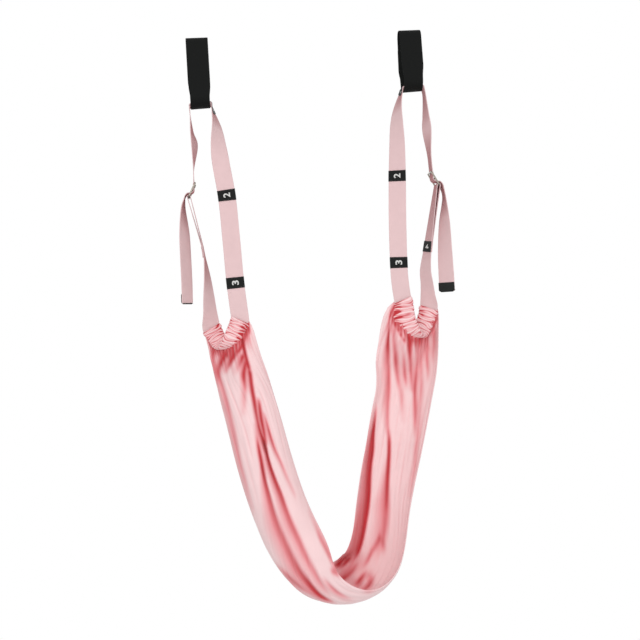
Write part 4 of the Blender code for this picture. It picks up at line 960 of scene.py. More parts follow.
def channel_spot(side, along, radius):
    """Out, depth and height of places on the channel's U, so far from the U's axis."""
    front_run, arc, rear_run = channel_runs(side)
    front_out, rear_out = FRONT_MOUTH[side][0], REAR_MOUTH[side][0]
    share = along / (front_run + arc + rear_run)
    bow = np.sin(math.pi * np.clip(share / CHANNEL_BOW_END, 0.0, 1.0) ** CHANNEL_BOW_END) ** 2
    out = front_out + (rear_out - front_out) * share - CHANNEL_BOW[side] * bow
    angle = np.clip((along - front_run) / U_RADIUS, 0.0, math.pi)
    rise = np.maximum(0.0, front_run - along) + np.maximum(0.0, along - front_run - arc)
    return out, -radius * np.cos(angle), AXIS_HEIGHT - radius * np.sin(angle) + rise


def channel_knots(side):
    """The strap's U inside the channel: down at the front, round below the axis, up at the rear."""
    front_run, arc, rear_run = channel_runs(side)
    places = (
        *np.linspace(0.0, front_run, 8)[:-1],
        *(front_run + np.linspace(0.0, arc, 31)),
        *(front_run + arc + np.linspace(0.0, rear_run, 6)[1:]),
    )
    return [knot(*channel_spot(side, along, U_RADIUS), 0.0) for along in places]


def sewn_knot(side):
    """Where the strap's two plies part below the buckle."""
    rear_drop = REAR_MOUTH[side][1]
    share = (rear_drop - SEWN_DROP[side]) / (rear_drop - BUCKLE_DROP)
    turn = SEWN_TURN_SHARE[side] * QUARTER
    return knot(SEWN_OUT[side], U_RADIUS * (1 - share), -SEWN_DROP[side], turn)


def loop_knots(side):
    """Up the inner ply, over the buckle's bottom bar, and down the outer ply to the sewn joint."""
    sewn = sewn_knot(side)
    bar = in_buckle(side, -1.0, 0.0)
    rise = unit(bar - np.array((sewn[0], sewn[2])))
    inner = np.array((-rise[1], rise[0]))
    angles = np.linspace(0.0, math.pi, 17)
    spots = [bar + WRAP_RADIUS * (inner * math.cos(a) + rise * math.sin(a)) for a in angles]
    return [knot(out, 0.0, height, QUARTER) for out, height in spots]


class Route:
    """The grid of a webbing, read by length along it and by share across it."""

    def __init__(self, rows):
        self.rows = rows
        self.normals = row_normals(rows)
        self.lengths = lengths_along(rows)

    def read(self, grid, along, across):
        """The grid's value at lengths and shares, between the points round each."""
        i = np.clip(np.searchsorted(self.lengths, along) - 1, 0, len(self.lengths) - 2)
        j = np.clip(np.searchsorted(ACROSS_SHARES, across) - 1, 0, len(ACROSS_SHARES) - 2)
        t = ((along - self.lengths[i]) / (self.lengths[i + 1] - self.lengths[i]))[..., None]
        f = ((across - ACROSS_SHARES[j]) / (ACROSS_SHARES[j + 1] - ACROSS_SHARES[j]))[..., None]
        near = grid[i, j] * (1 - f) + grid[i, j + 1] * f
        far = grid[i + 1, j] * (1 - f) + grid[i + 1, j + 1] * f
        return near * (1 - t) + far * t

    def spots(self, along, across, lift):
        """Points at lengths along, shares across and heights above the grid."""
        along, across = np.broadcast_arrays(np.asarray(along, float), np.asarray(across, float))
        normals = unit(self.read(self.normals, along, across))
        return self.read(self.rows, along, across) + normals * np.asarray(lift)[..., None]

    def patch(self, near, far, steps=9):
        """Rows and normals of the stretch between two lengths."""
        along = np.linspace(near, far, steps)[:, None]
        across = ACROSS_SHARES[None, :]
        along, across = np.broadcast_arrays(along, across)
        return self.read(self.rows, along, across), unit(self.read(self.normals, along, across))


def strap_route(side):
    """The strap from the buckle over the crown and through the channel to its sewn loop.

    With it come the lengths at which it crosses the crown and at which its two plies part.
    """
    weave = weave_knots(side)
    crown = crown_knots(side)
    channel = channel_knots(side)
    loop = loop_knots(side)
    sewn = sewn_knot(side)
    upper = strand(crown[0], weave[-1], UPPER_REAR_SHARES[side])[::-1]
    front = strand(crown[-1], channel[0], FRONT_SHARES[side])
    lower = strand(channel[-1], sewn, LOWER_REAR_SHARES[side])
    inner_ply = smooth((sewn, (sewn + loop[0]) / 2, loop[0]), 8)
    knots = weave[:-1] + upper + crown[1:-1] + front + channel[1:] + lower[1:] + inner_ply[1:-1] + loop
    crown_at = len(weave) - 1 + len(upper) + (len(crown) - 2) // 2
    sewn_at = len(weave) - 1 + len(upper) + len(crown) - 2 + len(front) + len(channel) + len(lower) - 3
    route = Route(strap_rows(side, knots))
    return route, route.lengths[crown_at], route.lengths[sewn_at]


def tail_route(side):
    """The strap's free end, from the buckle's lower slot to its tip."""
    places = [in_buckle(side, *shares) for shares in (TAIL_END_SHARES, *TAIL_ROOT_SHARES)]
    top = [knot(out, 0.0, height, QUARTER) for out, height in smooth(places, 5)]
    end = knot(TAIL_OUT[side], 0.0, -TAIL_DROP[side], TAIL_TIP_TURN_SHARE[side] * QUARTER)
    return Route(strap_rows(side, top[:-1] + strand(top[-1], end, TAIL_SHARES[side])))


def place_piece(piece, body, slot, *nodes):
    """Lets a finished piece move with its body and hides the nodes that it stands for; its slot is not used.
    """
    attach(piece, body)
    if nodes:
        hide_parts(*nodes)


# Settings that a user would change


def colour_setting(name, description, hex_colour):
    """A colour that a user would change."""
    return FloatVectorProperty(
        name=name, description=description, subtype="COLOR", default=linear(hex_colour), min=0.0, max=1.0
    )


def length_setting(name, description, length):
    """A length that a user would change, in metres."""
    return FloatProperty(name=name, description=description, unit="LENGTH", default=length)


class SwingColours(bpy.types.PropertyGroup):
    """Colours of the swing's materials."""

    # The cloth's own colour on its crests, and two darker, redder copies of it that paint the shade of its
    # folds
    crest: colour_setting("Cloth, crests", "Cloth where it faces the light", "#F0CFD0")
    slope: colour_setting("Cloth, slopes", "Cloth on the sides of a fold", "#E29297")
    valley: colour_setting("Cloth, valleys", "Cloth at the bottom of a fold", "#BC2830")
    strap: colour_setting("Strap", "Pink webbing of the straps and tails", "#E6C6C7")
    # A darker copy of the strap's colour, painted as shade where the webbing turns away from the viewer
    strap_edge: colour_setting("Strap, turned", "Pink webbing where it turns away from the viewer", "#AD6C6E")
    hanger: colour_setting("Hanger loop", "Black webbing of the loops over the bar", "#0B0D0C")
    label: colour_setting("Label", "Ground of the woven length labels", "#0C0E0D")
    numeral: colour_setting("Numeral", "Yarn of the woven length numbers", "#EDEDEA")
    tape: colour_setting("End tape", "Black tape folded round the tail's end", "#1C201E")
    nickel: colour_setting("Buckle", "Satin nickel plate of the buckles", "#958D83")
    pink_thread: colour_setting("Pink thread", "Seams of the cloth and of the sewn loops", "#DDA9AC")
    black_thread: colour_setting("Black thread", "Bar tacks and seams of loops, labels and tapes", "#343635")
    floor: colour_setting("Floor", "Plain studio floor", "#EDEDED")


class SwingSizes(bpy.types.PropertyGroup):
    """Sizes of the swing's fine detail."""

    weft_pitch: length_setting("Weft pitch", "Height of one rib of the webbing", 1.4 * MM)
    chevron: length_setting("Chevron width", "Width of one zigzag of the webbing's weave", 5.0 * MM)
    stitch_pitch: length_setting("Hem stitch pitch", "From one stitch of the hem to the next", 3.4 * MM)
    stitch_length: length_setting("Hem stitch length", "Length of one stitch of the hem", 2.5 * MM)
    thread: length_setting("Hem thread", "Thickness of the hem's sewing thread", 0.5 * MM)
    numeral_height: length_setting("Numeral height", "Height of a length number", 0.0155)
    numeral_width: length_setting("Numeral width", "Width of a length number", 0.0105)
    hem: length_setting("Hem", "Width of the folded hem along the cloth's lips", 0.010)
    cloth_wall: length_setting("Cloth", "Thickness of the cloth", 1.2 * MM)
    gather_depth: length_setting("Gather depth", "Depth of the small gathers by a channel", 3.2 * MM)
    gather_reach: length_setting("Gather reach", "How far the small gathers run down the cloth", 0.060)


def colours():
    return bpy.context.scene.swing_colours


def sizes():
    return bpy.context.scene.swing_sizes


def finish(name, build, *values):
    """The material of this name, built the first time that it is asked for."""
    return bpy.data.materials.get(name) or build(name, *values)


# Each webbing gets its colour, a darker copy painted as shade where it turns away, the share of its colour in
# its low threads' painted shade, its roughness and its specular level
def black_webbing():
    tone = tuple(colours().hanger)
    return finish("black_polyester_webbing", webbing_material, tone, rgba(tone, 0.5), 0.40, 0.75, 0.15)


def pink_webbing():
    tone, edge = tuple(colours().strap), rgba(colours().strap_edge)
    return finish("pink_polyester_webbing", webbing_material, tone, edge, 0.80, 0.85, 0.3)


def folded_tape():
    tone = tuple(colours().tape)
    return finish("black_binding_tape", webbing_material, tone, rgba(tone, 0.6), 0.60, 0.62, 0.2)


def woven_label():
    return finish("black_woven_label", label_material, tuple(colours().label))


def numeral_yarn():
    return finish("white_label_yarn", label_material, tuple(colours().numeral))


def satin_nickel():
    return finish("satin_nickel_plate", nickel_material, tuple(colours().nickel))


def knitted_cloth():
    tones = (tuple(colours().crest), tuple(colours().slope), tuple(colours().valley))
    return finish("pink_knitted_nylon", cloth_material, *tones)


def pink_thread():
    return finish("pink_sewing_thread", thread_material, tuple(colours().pink_thread))


def black_thread():
    return finish("black_sewing_thread", thread_material, tuple(colours().black_thread))


# Black loops that go over the bar


def hanger_width(height, side):
    """The webbing's width at a height: full above the eye's neck, drawn in at the eye."""
    share = smoothstep((height + EYE_DROP[side]) / HANGER_NECK)
    return HANGER_EYE_WIDTH + (HANGER_WIDTH - HANGER_EYE_WIDTH) * share


def hanger_rows(side, depths, heights):
    """Cross lines of the loop, level at the bar and on the eyes' slope below, and their widths."""
    widths = hanger_width(heights, side)
    lowness = np.clip(-heights / EYE_DROP[side], 0.0, 1.0)
    shift = widths[:, None] / 2 * ACROSS_SHARES
    rows = np.empty((len(heights), len(ACROSS_SHARES), 3))
    rows[:, :, 0] = SIDES[side] * HANGER_OUT + shift
    rows[:, :, 1] = depths[:, None]
    rows[:, :, 2] = heights[:, None] + shift * EYE_SLOPE * lowness[:, None]
    return rows


def hanger_loop(side):
    """Depths and heights of the loop's middle line: round the bar, down the rear, round the eye, up."""
    top, eye, drop = BAR_TURN, EYE_TURN, EYE_DROP[side]
    over = np.linspace(0.0, math.pi, 25)
    under = np.linspace(0.0, math.pi, 31)
    run = np.linspace(0.0, 1.0, 15)[1:-1]
    depths = (-top * np.cos(over), top + (eye - top) * run, eye * np.cos(under), -eye + (eye - top) * run)
    heights = (top * np.sin(over), -drop * run, -drop - eye * np.sin(under), -drop * (1 - run))
    return np.concatenate(depths), np.concatenate(heights)


def rear_depth(side, heights):
    """The depth of the middle of the loop's straight rear run at these heights."""
    return BAR_TURN + (EYE_TURN - BAR_TURN) * -heights / EYE_DROP[side]


def rear_spots(side, across, heights, lift):
    """Points on the rear run at shares across it, so far behind the middle of its webbing."""
    across, heights = np.broadcast_arrays(np.asarray(across, float), np.asarray(heights, float))
    lean = unit(np.array((0.0, EYE_DROP[side], EYE_TURN - BAR_TURN)))
    shift = hanger_width(heights, side) / 2 * across
    lowness = np.clip(-heights / EYE_DROP[side], 0.0, 1.0)
    sloped = heights + shift * EYE_SLOPE * lowness
    spots = np.stack((SIDES[side] * HANGER_OUT + shift, rear_depth(side, heights), sloped), axis=-1)
    return spots + lean * lift


def box_and_cross(near, far, reach):
    """Shares across and places along of a boxed cross, the usual seam where webbing is joined."""
    corners = ((-reach, near), (reach, near), (reach, far), (-reach, far))
    legs = [(corners[k], corners[(k + 1) % 4]) for k in range(4)]
    legs += [(corners[0], corners[2]), (corners[1], corners[3])]
    t = np.linspace(0.0, 1.0, 24)
    return [(a0 + (a1 - a0) * t, b0 + (b1 - b0) * t) for (a0, b0), (a1, b1) in legs]


def tack_lines(near, far, count):
    """Shares across and places along of a bar tack: dense satin stitches, and the bar that they cover."""
    reach = TACK_WIDTH_SHARE
    satin = (np.linspace(-reach, reach, count), np.where(np.arange(count) % 2, near, far))
    return satin, (np.linspace(-reach, reach, 12), np.full(12, (near + far) / 2))


def build_hanger(side):
    """The black loop, the sewn lap on its rear run, the lap's boxed seam and its bar tack."""
    depths, heights = hanger_loop(side)
    name = f"{side}_hanger_loop"
    loop = band_loop(name, hanger_rows(side, depths, heights), HANGER_THICKNESS, hanger_width(heights, side))
    piece = make_object(name, loop, black_webbing())
    place_piece(piece, "hangers", "hanger_webbing", f"{side}_hanger_webbing")
    lap_top, lap_low = -LAP_FROM_BAR, -LAP_FROM_BAR - LAP_LENGTH
    lap_heights = np.linspace(lap_top, lap_low, 21)
    lap_rows = hanger_rows(side, rear_depth(side, lap_heights), lap_heights)
    sign = math.copysign(1.0, float(row_normals(lap_rows)[:, :, 1].mean()))
    lift = HANGER_THICKNESS + SEAT_GAP
    name = f"{side}_loop_lap"
    lap = band(name, lap_rows, HANGER_THICKNESS, lift=sign * lift, width=HANGER_WIDTH)
    place_piece(make_object(name, lap, black_webbing()), "hangers", "hanger_webbing", f"{side}_hanger_lap")
    over = lift + HANGER_THICKNESS / 2
    box = box_and_cross(lap_top - LAP_SEAM_TOP, lap_low + LAP_SEAM_LOW, LAP_SEAM_SHARE)
    paths = [rear_spots(side, across, along, over + SEAM_LIFT) for across, along in box]
    place_piece(stitched(f"{side}_lap_seam", paths, black_thread(), *WEBBING_SEAM), "hangers", "thread")
    near = lap_low + TACK_INSET
    lines = tack_lines(near, near + TACK_LENGTH, HANGER_TACK_STITCHES)
    paths = [rear_spots(side, across, along, over + TACK_LIFT) for across, along in lines]
    tack = threaded(f"{side}_loop_bar_tack", paths, black_thread())
    place_piece(tack, "hangers", "thread", f"{side}_hanger_bartack")


def band_loop(name, rows, thickness, widths):
    """A closed loop of webbing with round selvedges."""
    run = np.roll(rows, -1, axis=0) - np.roll(rows, 1, axis=0)
    normals = unit(np.cross(run, np.gradient(rows, axis=1)))
    half = thickness / 2 * EDGE_SHARES
    middle = rows[:, rows.shape[1] // 2]
    steps = np.linalg.norm(np.roll(middle, -1, axis=0) - middle, axis=1)
    along = np.concatenate(((0.0,), np.cumsum(steps)[:-1]))
    across = widths[:, None] / 2 * ACROSS_SHARES
    places = np.stack(np.broadcast_arrays(across, along[:, None]), axis=-1)
    return slab(name, rows + normals * half, rows - normals * half, places, looped=float(steps.sum()))


# Pink strap


def narrowed(rows, share):
    """The same rows, drawn in or let out to a share of their width."""
    middle = rows.mean(axis=1, keepdims=True)
    return middle + (rows - middle) * share


def build_strap(side, route, sewn):
    """The strap in one piece, its sewn end ply lying on the strand, with its bar tack and boxed seam."""
    joint, normals = route.patch(sewn - SEWN_LENGTH, sewn, 15)
    joint, normals = joint[::-1], normals[::-1]
    sign = math.copysign(1.0, SIDES[side] * float(normals[:, :, 0].mean()))
    lifted = joint + normals * PLY_STEP * sign
    last = route.rows[-1]
    plies = [last * (1 - share) + lifted[0] * share for share in np.linspace(0.0, 1.0, 13)[1:-1]]
    whole = np.concatenate((route.rows, plies, lifted))
    whole_normals = row_normals(whole)
    whole_normals[-len(lifted):] = -normals
    name = f"{side}_webbing_strap"
    strap = make_object(name, band(name, whole, STRAP_THICKNESS, normals=whole_normals), pink_webbing())
    place_piece(strap, "sling", "strap_webbing", f"{side}_strap")
    over = PLY_STEP + STRAP_THICKNESS / 2
    near, far = sewn - TACK_INSET - TACK_LENGTH, sewn - TACK_INSET
    lines = tack_lines(near, far, STRAP_TACK_STITCHES)
    paths = [route.spots(along, across, sign * (over + TACK_LIFT)) for across, along in lines]
    tack = threaded(f"{side}_loop_tack", paths, black_thread())
    place_piece(tack, "sling", "thread", f"{side}_strap_bartack")
    box = box_and_cross(sewn - SEWN_LENGTH + LOOP_SEAM_INSET, near - LOOP_SEAM_GAP, LOOP_SEAM_SHARE)
    lifts = (sign * (over + SEAM_LIFT), -sign * (STRAP_THICKNESS / 2 + SEAM_LIFT))
    paths = [route.spots(along, across, lift) for lift in lifts for across, along in box]
    place_piece(stitched(f"{side}_loop_seam", paths, pink_thread(), *WEBBING_SEAM), "sling", "thread")
    return sign


# Length labels


def label_sign(side, normals):
    """The sign of the strap's face that looks to the middle of the swing or to the front."""
    towards = np.array((-SIDES[side], -1.0, 0.3))
    return math.copysign(1.0, float(np.dot(normals.mean(axis=(0, 1)), towards)))


def cross_seam(name, route, places, reach, lift, body):
    """Rows of stitches across a webbing at these lengths along it, over a share of its width."""
    across = np.linspace(-reach, reach, 20)
    paths = [route.spots(np.full(20, at), across, lift) for at in places]
    place_piece(stitched(name, paths, black_thread(), *TAPE_SEAM), body, "thread")


def numeral_mesh(digit, height, width):
    """The number as flat strokes with a little thickness, fine enough to bend with the label."""
    words = bpy.data.curves.new("numeral", "FONT")
    words.body = str(digit)
    words.size = 1.0
    words.offset = NUMERAL_BOLDNESS
    words.extrude = 0.5
    words.resolution_u = 6
    holder = bpy.data.objects.new("numeral", words)
    bpy.context.scene.collection.objects.link(holder)
    bpy.context.view_layer.update()
    mesh = bpy.data.meshes.new_from_object(holder.evaluated_get(bpy.context.evaluated_depsgraph_get()))
    bpy.data.objects.remove(holder)
    work = bmesh.new()
    work.from_mesh(mesh)
    bpy.data.meshes.remove(mesh)
    bmesh.ops.remove_doubles(work, verts=work.verts[:], dist=1e-5)
    places = np.array([vert.co[:] for vert in work.verts])
    low, high = places.min(axis=0), places.max(axis=0)
    share = np.array((width, height, 1.0)) / (high - low)
    for vert in work.verts:
        vert.co = (np.array(vert.co[:]) - (low + high) / 2) * share
    long_edges = [
        edge
        for edge in work.edges
        if edge.calc_length() > NUMERAL_EDGE and abs(edge.verts[0].co.z - edge.verts[1].co.z) < 0.5
    ]
    bmesh.ops.subdivide_edges(work, edges=long_edges, cuts=3)
    bmesh.ops.triangulate(work, faces=work.faces[:])
    return work


def build_label(side, number, route, near, far, sign):
    """One black woven label with its number and its two sewn ends."""
    lines, normals = route.patch(near, far, 13)
    lift = STRAP_THICKNESS / 2 + SEAT_GAP + LABEL_THICKNESS / 2
    name = f"{side}_length_label_{number}"
    mesh = band(name, narrowed(lines, OVERHANG_SHARE), LABEL_THICKNESS, lift=sign * lift, normals=normals)
    place_piece(make_object(name, mesh, woven_label()), "sling", "label", f"{side}_label_{number}")
    top = STRAP_THICKNESS / 2 + SEAT_GAP + LABEL_THICKNESS
    work = numeral_mesh(number, sizes().numeral_height, sizes().numeral_width)
    flat = np.array([vert.co[:] for vert in work.verts])
    raised = np.where(flat[:, 2] > 0, top + NUMERAL_RISE, top - NUMERAL_ROOT)
    across = SIDES[side] * flat[:, 1] / (STRAP_WIDTH / 2)
    spots = route.spots((near + far) / 2 - flat[:, 0], across, sign * raised)
    for vert, spot in zip(work.verts, spots):
        vert.co = spot
    bmesh.ops.recalc_face_normals(work, faces=work.faces[:])
    name = f"{side}_length_number_{number}"
    numeral = bpy.data.meshes.new(name)
    work.to_mesh(numeral)
    work.free()
    put_uv(numeral, np.stack((flat[:, 1], flat[:, 0]), axis=-1))
    place_piece(make_object(name, numeral, numeral_yarn()), "sling", "label")
    ends, lift = (near + LABEL_SEAM_INSET, far - LABEL_SEAM_INSET), sign * (top + SEAM_LIFT)
    cross_seam(f"{side}_label_seam_{number}", route, ends, LABEL_SEAM_SHARE, lift, "sling")


def build_labels(side, route, crown_length, sewn, sewn_sign):
    """Numbered labels at even lengths from the top of the crown, and the right strap's last one."""
    for number in range(1, LABEL_COUNT + 1):
        middle = crown_length + LABEL_FIRST[side] + LABEL_PITCH * (number - 1)
        near, far = middle - LABEL_LENGTH / 2, middle + LABEL_LENGTH / 2
        build_label(side, number, route, near, far, label_sign(side, route.patch(near, far)[1]))
    if side == "right":
        near, far = sewn - END_LABEL_INSET - LABEL_LENGTH, sewn - END_LABEL_INSET
        build_label(side, LABEL_COUNT + 1, route, near, far, -sewn_sign)


# Buckle


def round_outline(work, middle, length, width, corner):
    """Adds the edges of a rectangle with round corners, which lies on Z = 0 round a place on X."""
    points = []
    for sx, sy, first in ((1, 1, 0), (-1, 1, 1), (-1, -1, 2), (1, -1, 3)):
        for k in range(BUCKLE_CORNER_STEPS + 1):
            angle = QUARTER * (first + k / BUCKLE_CORNER_STEPS)
            x = middle + sx * (length / 2 - corner) + corner * math.cos(angle)
            y = sy * (width / 2 - corner) + corner * math.sin(angle)
            points.append(work.verts.new((x, y, 0.0)))
    for start, end in zip(points, points[1:] + points[:1]):
        work.edges.new((start, end))


def build_buckle(side):
    """The cast plate with two slots, its rims rounded, leaning with the strap that runs through it."""
    opening = STRAP_WIDTH + 2 * BUCKLE_SLOT_SPARE
    work = bmesh.new()
    round_outline(work, 0.0, 2 * BUCKLE_PITCH + BUCKLE_BAR, opening + 2 * BUCKLE_RAIL, BUCKLE_CORNER)
    for way in (-1, 1):
        middle = way * BUCKLE_PITCH / 2
        round_outline(work, middle, BUCKLE_PITCH - BUCKLE_BAR, opening, BUCKLE_SLOT_CORNER)
    bmesh.ops.triangle_fill(work, edges=work.edges[:], use_beauty=True, use_dissolve=False)
    swept = bmesh.ops.extrude_face_region(work, geom=work.faces[:])["geom"]
    raised = [item for item in swept if isinstance(item, bmesh.types.BMVert)]
    bmesh.ops.translate(work, verts=raised, vec=(0.0, 0.0, BUCKLE_PLATE))
    bmesh.ops.translate(work, verts=work.verts[:], vec=(0.0, 0.0, -BUCKLE_PLATE / 2))
    bmesh.ops.recalc_face_normals(work, faces=work.faces[:])
    rims = [
        edge
        for edge in work.edges
        if abs(edge.verts[0].co.z - edge.verts[1].co.z) < BUCKLE_PLATE / 2
        and edge.calc_face_angle() > BUCKLE_RIM_ANGLE
    ]
    bmesh.ops.bevel(
        work, geom=rims, offset=BUCKLE_ROUNDING, segments=BUCKLE_ROUNDING_STEPS, affect="EDGES", profile=0.5
    )
    along = Vector((-SIDES[side] * math.sin(BUCKLE_LEAN), 0.0, math.cos(BUCKLE_LEAN)))
    turned = Matrix.Rotation(math.atan2(-along.z, along.x), 4, "Y")
    centre = Vector(place(side, BUCKLE_OUT[side], 0.0, -BUCKLE_DROP))
    bmesh.ops.transform(work, matrix=Matrix.Translation(centre) @ turned, verts=work.verts[:])
    name = f"{side}_three_bar_buckle"
    mesh = bpy.data.meshes.new(name)
    work.to_mesh(mesh)
    work.free()
    mesh.shade_smooth()
    mesh.set_sharp_from_angle(angle=BUCKLE_SMOOTH_ANGLE)
    place_piece(make_object(name, mesh, satin_nickel()), "sling", "buckle_steel", f"{side}_buckle")


# Free tail


def end_rounded(rows):
    """The rows, drawn in near their last one so that the end has round corners."""
    lengths = lengths_along(rows)
    left = np.clip(TAIL_CORNER - (lengths[-1] - lengths), 0.0, TAIL_CORNER)
    drawn = TAIL_CORNER - np.sqrt(np.maximum(TAIL_CORNER**2 - left**2, 0.0))
    return narrowed(rows, (1 - drawn / (STRAP_WIDTH / 2))[:, None, None])


def build_tail(side):
    """The strap's free end, and the black tape that is folded and sewn round its tip."""
    route = tail_route(side)
    end = route.lengths[-1]
    fine_end = np.linspace(end - 2 * TAIL_CORNER, end, 15)
    along = np.concatenate((route.lengths[route.lengths < fine_end[0] - 1 * MM], fine_end))
    grid = route.read(route.rows, *np.broadcast_arrays(along[:, None], ACROSS_SHARES[None, :]))
    name, body = f"{side}_free_tail", f"{side}_tail"
    mesh = band(name, end_rounded(grid), STRAP_THICKNESS)
    place_piece(make_object(name, mesh, pink_webbing()), body, "strap_webbing", f"{side}_tail")
    sign = SIDES[side] * math.copysign(1.0, -float(route.normals[-6:, :, 1].mean()))
    offset = STRAP_THICKNESS / 2 + SEAT_GAP + TIP_THICKNESS / 2
    lines, normals = route.patch(end - TIP_LENGTH, end, 19)
    back, back_normals = route.patch(end - TIP_BACK[side], end, 7)
    run = unit(lines[-1].mean(0) - lines[-2].mean(0))
    out = SEAT_GAP + TIP_THICKNESS / 2
    lines, back = (narrowed(end_rounded(rows), OVERHANG_SHARE) for rows in (lines, back))
    turn = [
        lines[-1] + run * out * math.sin(a) + normals[-1] * sign * offset * math.cos(a)
        for a in np.linspace(0.0, math.pi, 9)[1:-1]
    ]
    under = (back - back_normals * sign * offset)[::-1]
    path = np.concatenate((lines + normals * sign * offset, turn, under))
    name = f"{side}_end_tape"
    tape = band(name, path, TIP_THICKNESS)
    place_piece(make_object(name, tape, folded_tape()), body, "end_tape", f"{side}_tail_tip")
    top = offset + TIP_THICKNESS / 2 + SEAM_LIFT
    places = [end - TIP_LENGTH + inset for inset in TIP_SEAM_INSETS]
    cross_seam(f"{side}_tape_seam", route, places, TIP_SEAM_SHARE, sign * top, body)


# Channel


def channel_frames(side, count):
    """Middles, directions across and normals along the strap's U, from its front mouth to its rear one."""
    along = np.linspace(0.0, sum(channel_runs(side)), count)
    out, depth, height = channel_spot(side, along, U_RADIUS)
    middles = np.stack((SIDES[side] * out, depth, height), axis=1)
    runs = unit(np.gradient(middles, axis=0))
    hint = np.array((-SIDES[side], 0.0, 0.0))
    wides = unit(hint - runs * (runs @ hint)[:, None])
    return along, middles, wides, unit(np.cross(runs, wides))


def off_zero(angles):
    """How far the angles lie from 0, the short way round."""
    return np.abs(np.angle(np.exp(1j * angles)))


def ruches(side, share, angles):
    """Ridges round the channel: how high they stand, and how dark a painted shade is between them.

    The painted shade is darkest in the gaps at the channel's inner edge, by the seam, more so on its front
    run, and less so at its outer edge.
    """
    phase = np.random.default_rng(RUCHE_SEED[side]).uniform(0.0, 2 * math.pi, 12)
    turn = 2 * math.pi * share
    drift = 0.9 * np.sin(1.3 * turn + phase[0]) + 0.6 * np.sin(3.1 * turn + phase[1] + 1.2 * np.sin(angles))
    drift += (
        0.55 * np.sin(2 * angles + 4.2 * turn + phase[2]) + 0.40 * np.sin(3 * angles - 6.5 * turn + phase[3])
    )
    coarse = np.abs(np.sin(RIDGE_COUNT * turn / 2 + drift))
    fine = np.abs(np.sin(FINE_RIDGE_COUNT * turn / 2 + 1.5 * drift + 1.1 * np.sin(2 * angles + phase[4])))
    crossing = 0.5 + 0.5 * np.sin(5.3 * turn + 2 * angles + phase[5])
    fading = 0.5 + 0.5 * np.sin(9.1 * turn - 3 * angles + phase[6])
    height = coarse**0.7 * (1 - 0.45 * crossing) + fine**0.8 * (0.25 + 0.40 * crossing)
    coarse_gap, fine_gap = 1 - coarse, 1 - fine
    # Painted shade in the gaps between the ridges, fading in and out along the channel
    tone = 0.85 * coarse_gap**2 * (0.35 + 0.65 * fading) + 0.50 * fine_gap**2
    inner_edge = np.exp(-((off_zero(angles) / INNER_EDGE_REACH) ** INNER_EDGE_POWER))
    front_run = 1 - REAR_RUN_LOSS * smoothstep((share - FRONT_RUN_END) / FRONT_RUN_FADE)
    # Darker painted shade in the gaps at the inner edge by the seam, mostly on the front run, and at the
    # outer edge
    tone += inner_edge * front_run * (4.6 * coarse_gap + 0.9 * fine_gap - 0.3) * (0.65 + 0.35 * fading)
    tone += bell(off_zero(angles - math.pi), OUTER_EDGE_REACH) * 0.85 * coarse_gap
    return height, tone


def build_channel(side):
    """The gathered sleeve round the strap's U: cloth with fine ruches and puffy frilled mouths."""
    along, middles, wides, thicks = channel_frames(side, CHANNEL_ROWS)
    length = along[-1]
    angles = np.linspace(0.0, 2 * math.pi, CHANNEL_RING, endpoint=False)
    s, a = np.meshgrid(along / length, angles, indexing="ij")
    cosine, sine = np.cos(a), np.sin(a)
    height, depth = ruches(side, s, a)
    relief = (height - RUCHE_LEVEL) * RUCHE_RISE * MM * (0.75 + 0.55 * (0.5 + 0.5 * np.cos(2 * a)))
    lobes = 0.55 + 0.45 * np.sin(2 * a + 1.0) + 0.25 * np.sin(5 * a + 2.0)
    for from_mouth, puff in zip((s * length, (1 - s) * length), MOUTH_PUFFS):
        relief += puff * lobes * bell(from_mouth - 6 * MM, 4.5 * MM)
        relief += FRILL_RISE * np.exp(-from_mouth / (2 * MM)) * (1 + np.sin(7 * a))
        # and a ring of painted shade behind each mouth's puff
        depth += 0.5 * lobes * bell(from_mouth - 13 * MM, 2.2 * MM)
    half_width = (CHANNEL_HALF_WIDTH - CHANNEL_DRAWN_IN) * (1 - 0.05 * np.sin(math.pi * s))
    flat_x = np.sign(cosine) * np.abs(cosine) ** 0.85
    flat_y = np.sign(sine) * np.abs(sine) ** 0.75
    spread = CHANNEL_SPREAD[side] * bell(s - CHANNEL_SPREAD_AT, CHANNEL_SPREAD_REACH)
    x = flat_x * half_width + cosine * relief * 0.8 + spread * smoothstep((cosine + 0.2) / 1.2)
    y = flat_y * CHANNEL_HALF_DEPTH + np.sign(sine) * np.abs(sine) ** 0.5 * relief
    outer = middles[:, None] + wides[:, None] * x[..., None] + thicks[:, None] * y[..., None]
    bore = STRAP_WIDTH / 2 + CHANNEL_BORE_GAP
    inner_x = flat_x * np.maximum(bore, np.abs(half_width) - CHANNEL_WALL)
    inner_x = np.sign(inner_x) * np.minimum(np.abs(inner_x), np.abs(x) * 0.97)
    inner_y = flat_y * (CHANNEL_HALF_DEPTH - CHANNEL_FACE_WALL)
    inner = middles[:, None] + wides[:, None] * inner_x[..., None] + thicks[:, None] * inner_y[..., None]
    places = np.stack((a * CHANNEL_HALF_WIDTH * 2 / math.pi, s * length), axis=-1)
    name = f"{side}_gathered_channel"
    mesh = tube_mesh(name, outer, inner, places)
    # Painted shade: between the ruches on the outside, and dark all over the inner wall
    put_depth(mesh, np.concatenate((np.clip(depth, 0.0, 1.0).ravel(), np.full(depth.size, BORE_PAINTED_SHADE))))
    place_piece(make_object(name, mesh, knitted_cloth()), "sling", "hammock_cloth", f"{side}_channel")


def tube_mesh(name, outer, inner, places):
    """A closed wall between two tubes of points: rows along it, rings round it."""
    ids = np.arange(outer[..., 0].size).reshape(outer.shape[:2])
    ids = np.concatenate((ids, ids[:, :1]), axis=1)
    return walled(name, outer, inner, ids, (ids[0], ids[-1]), places)


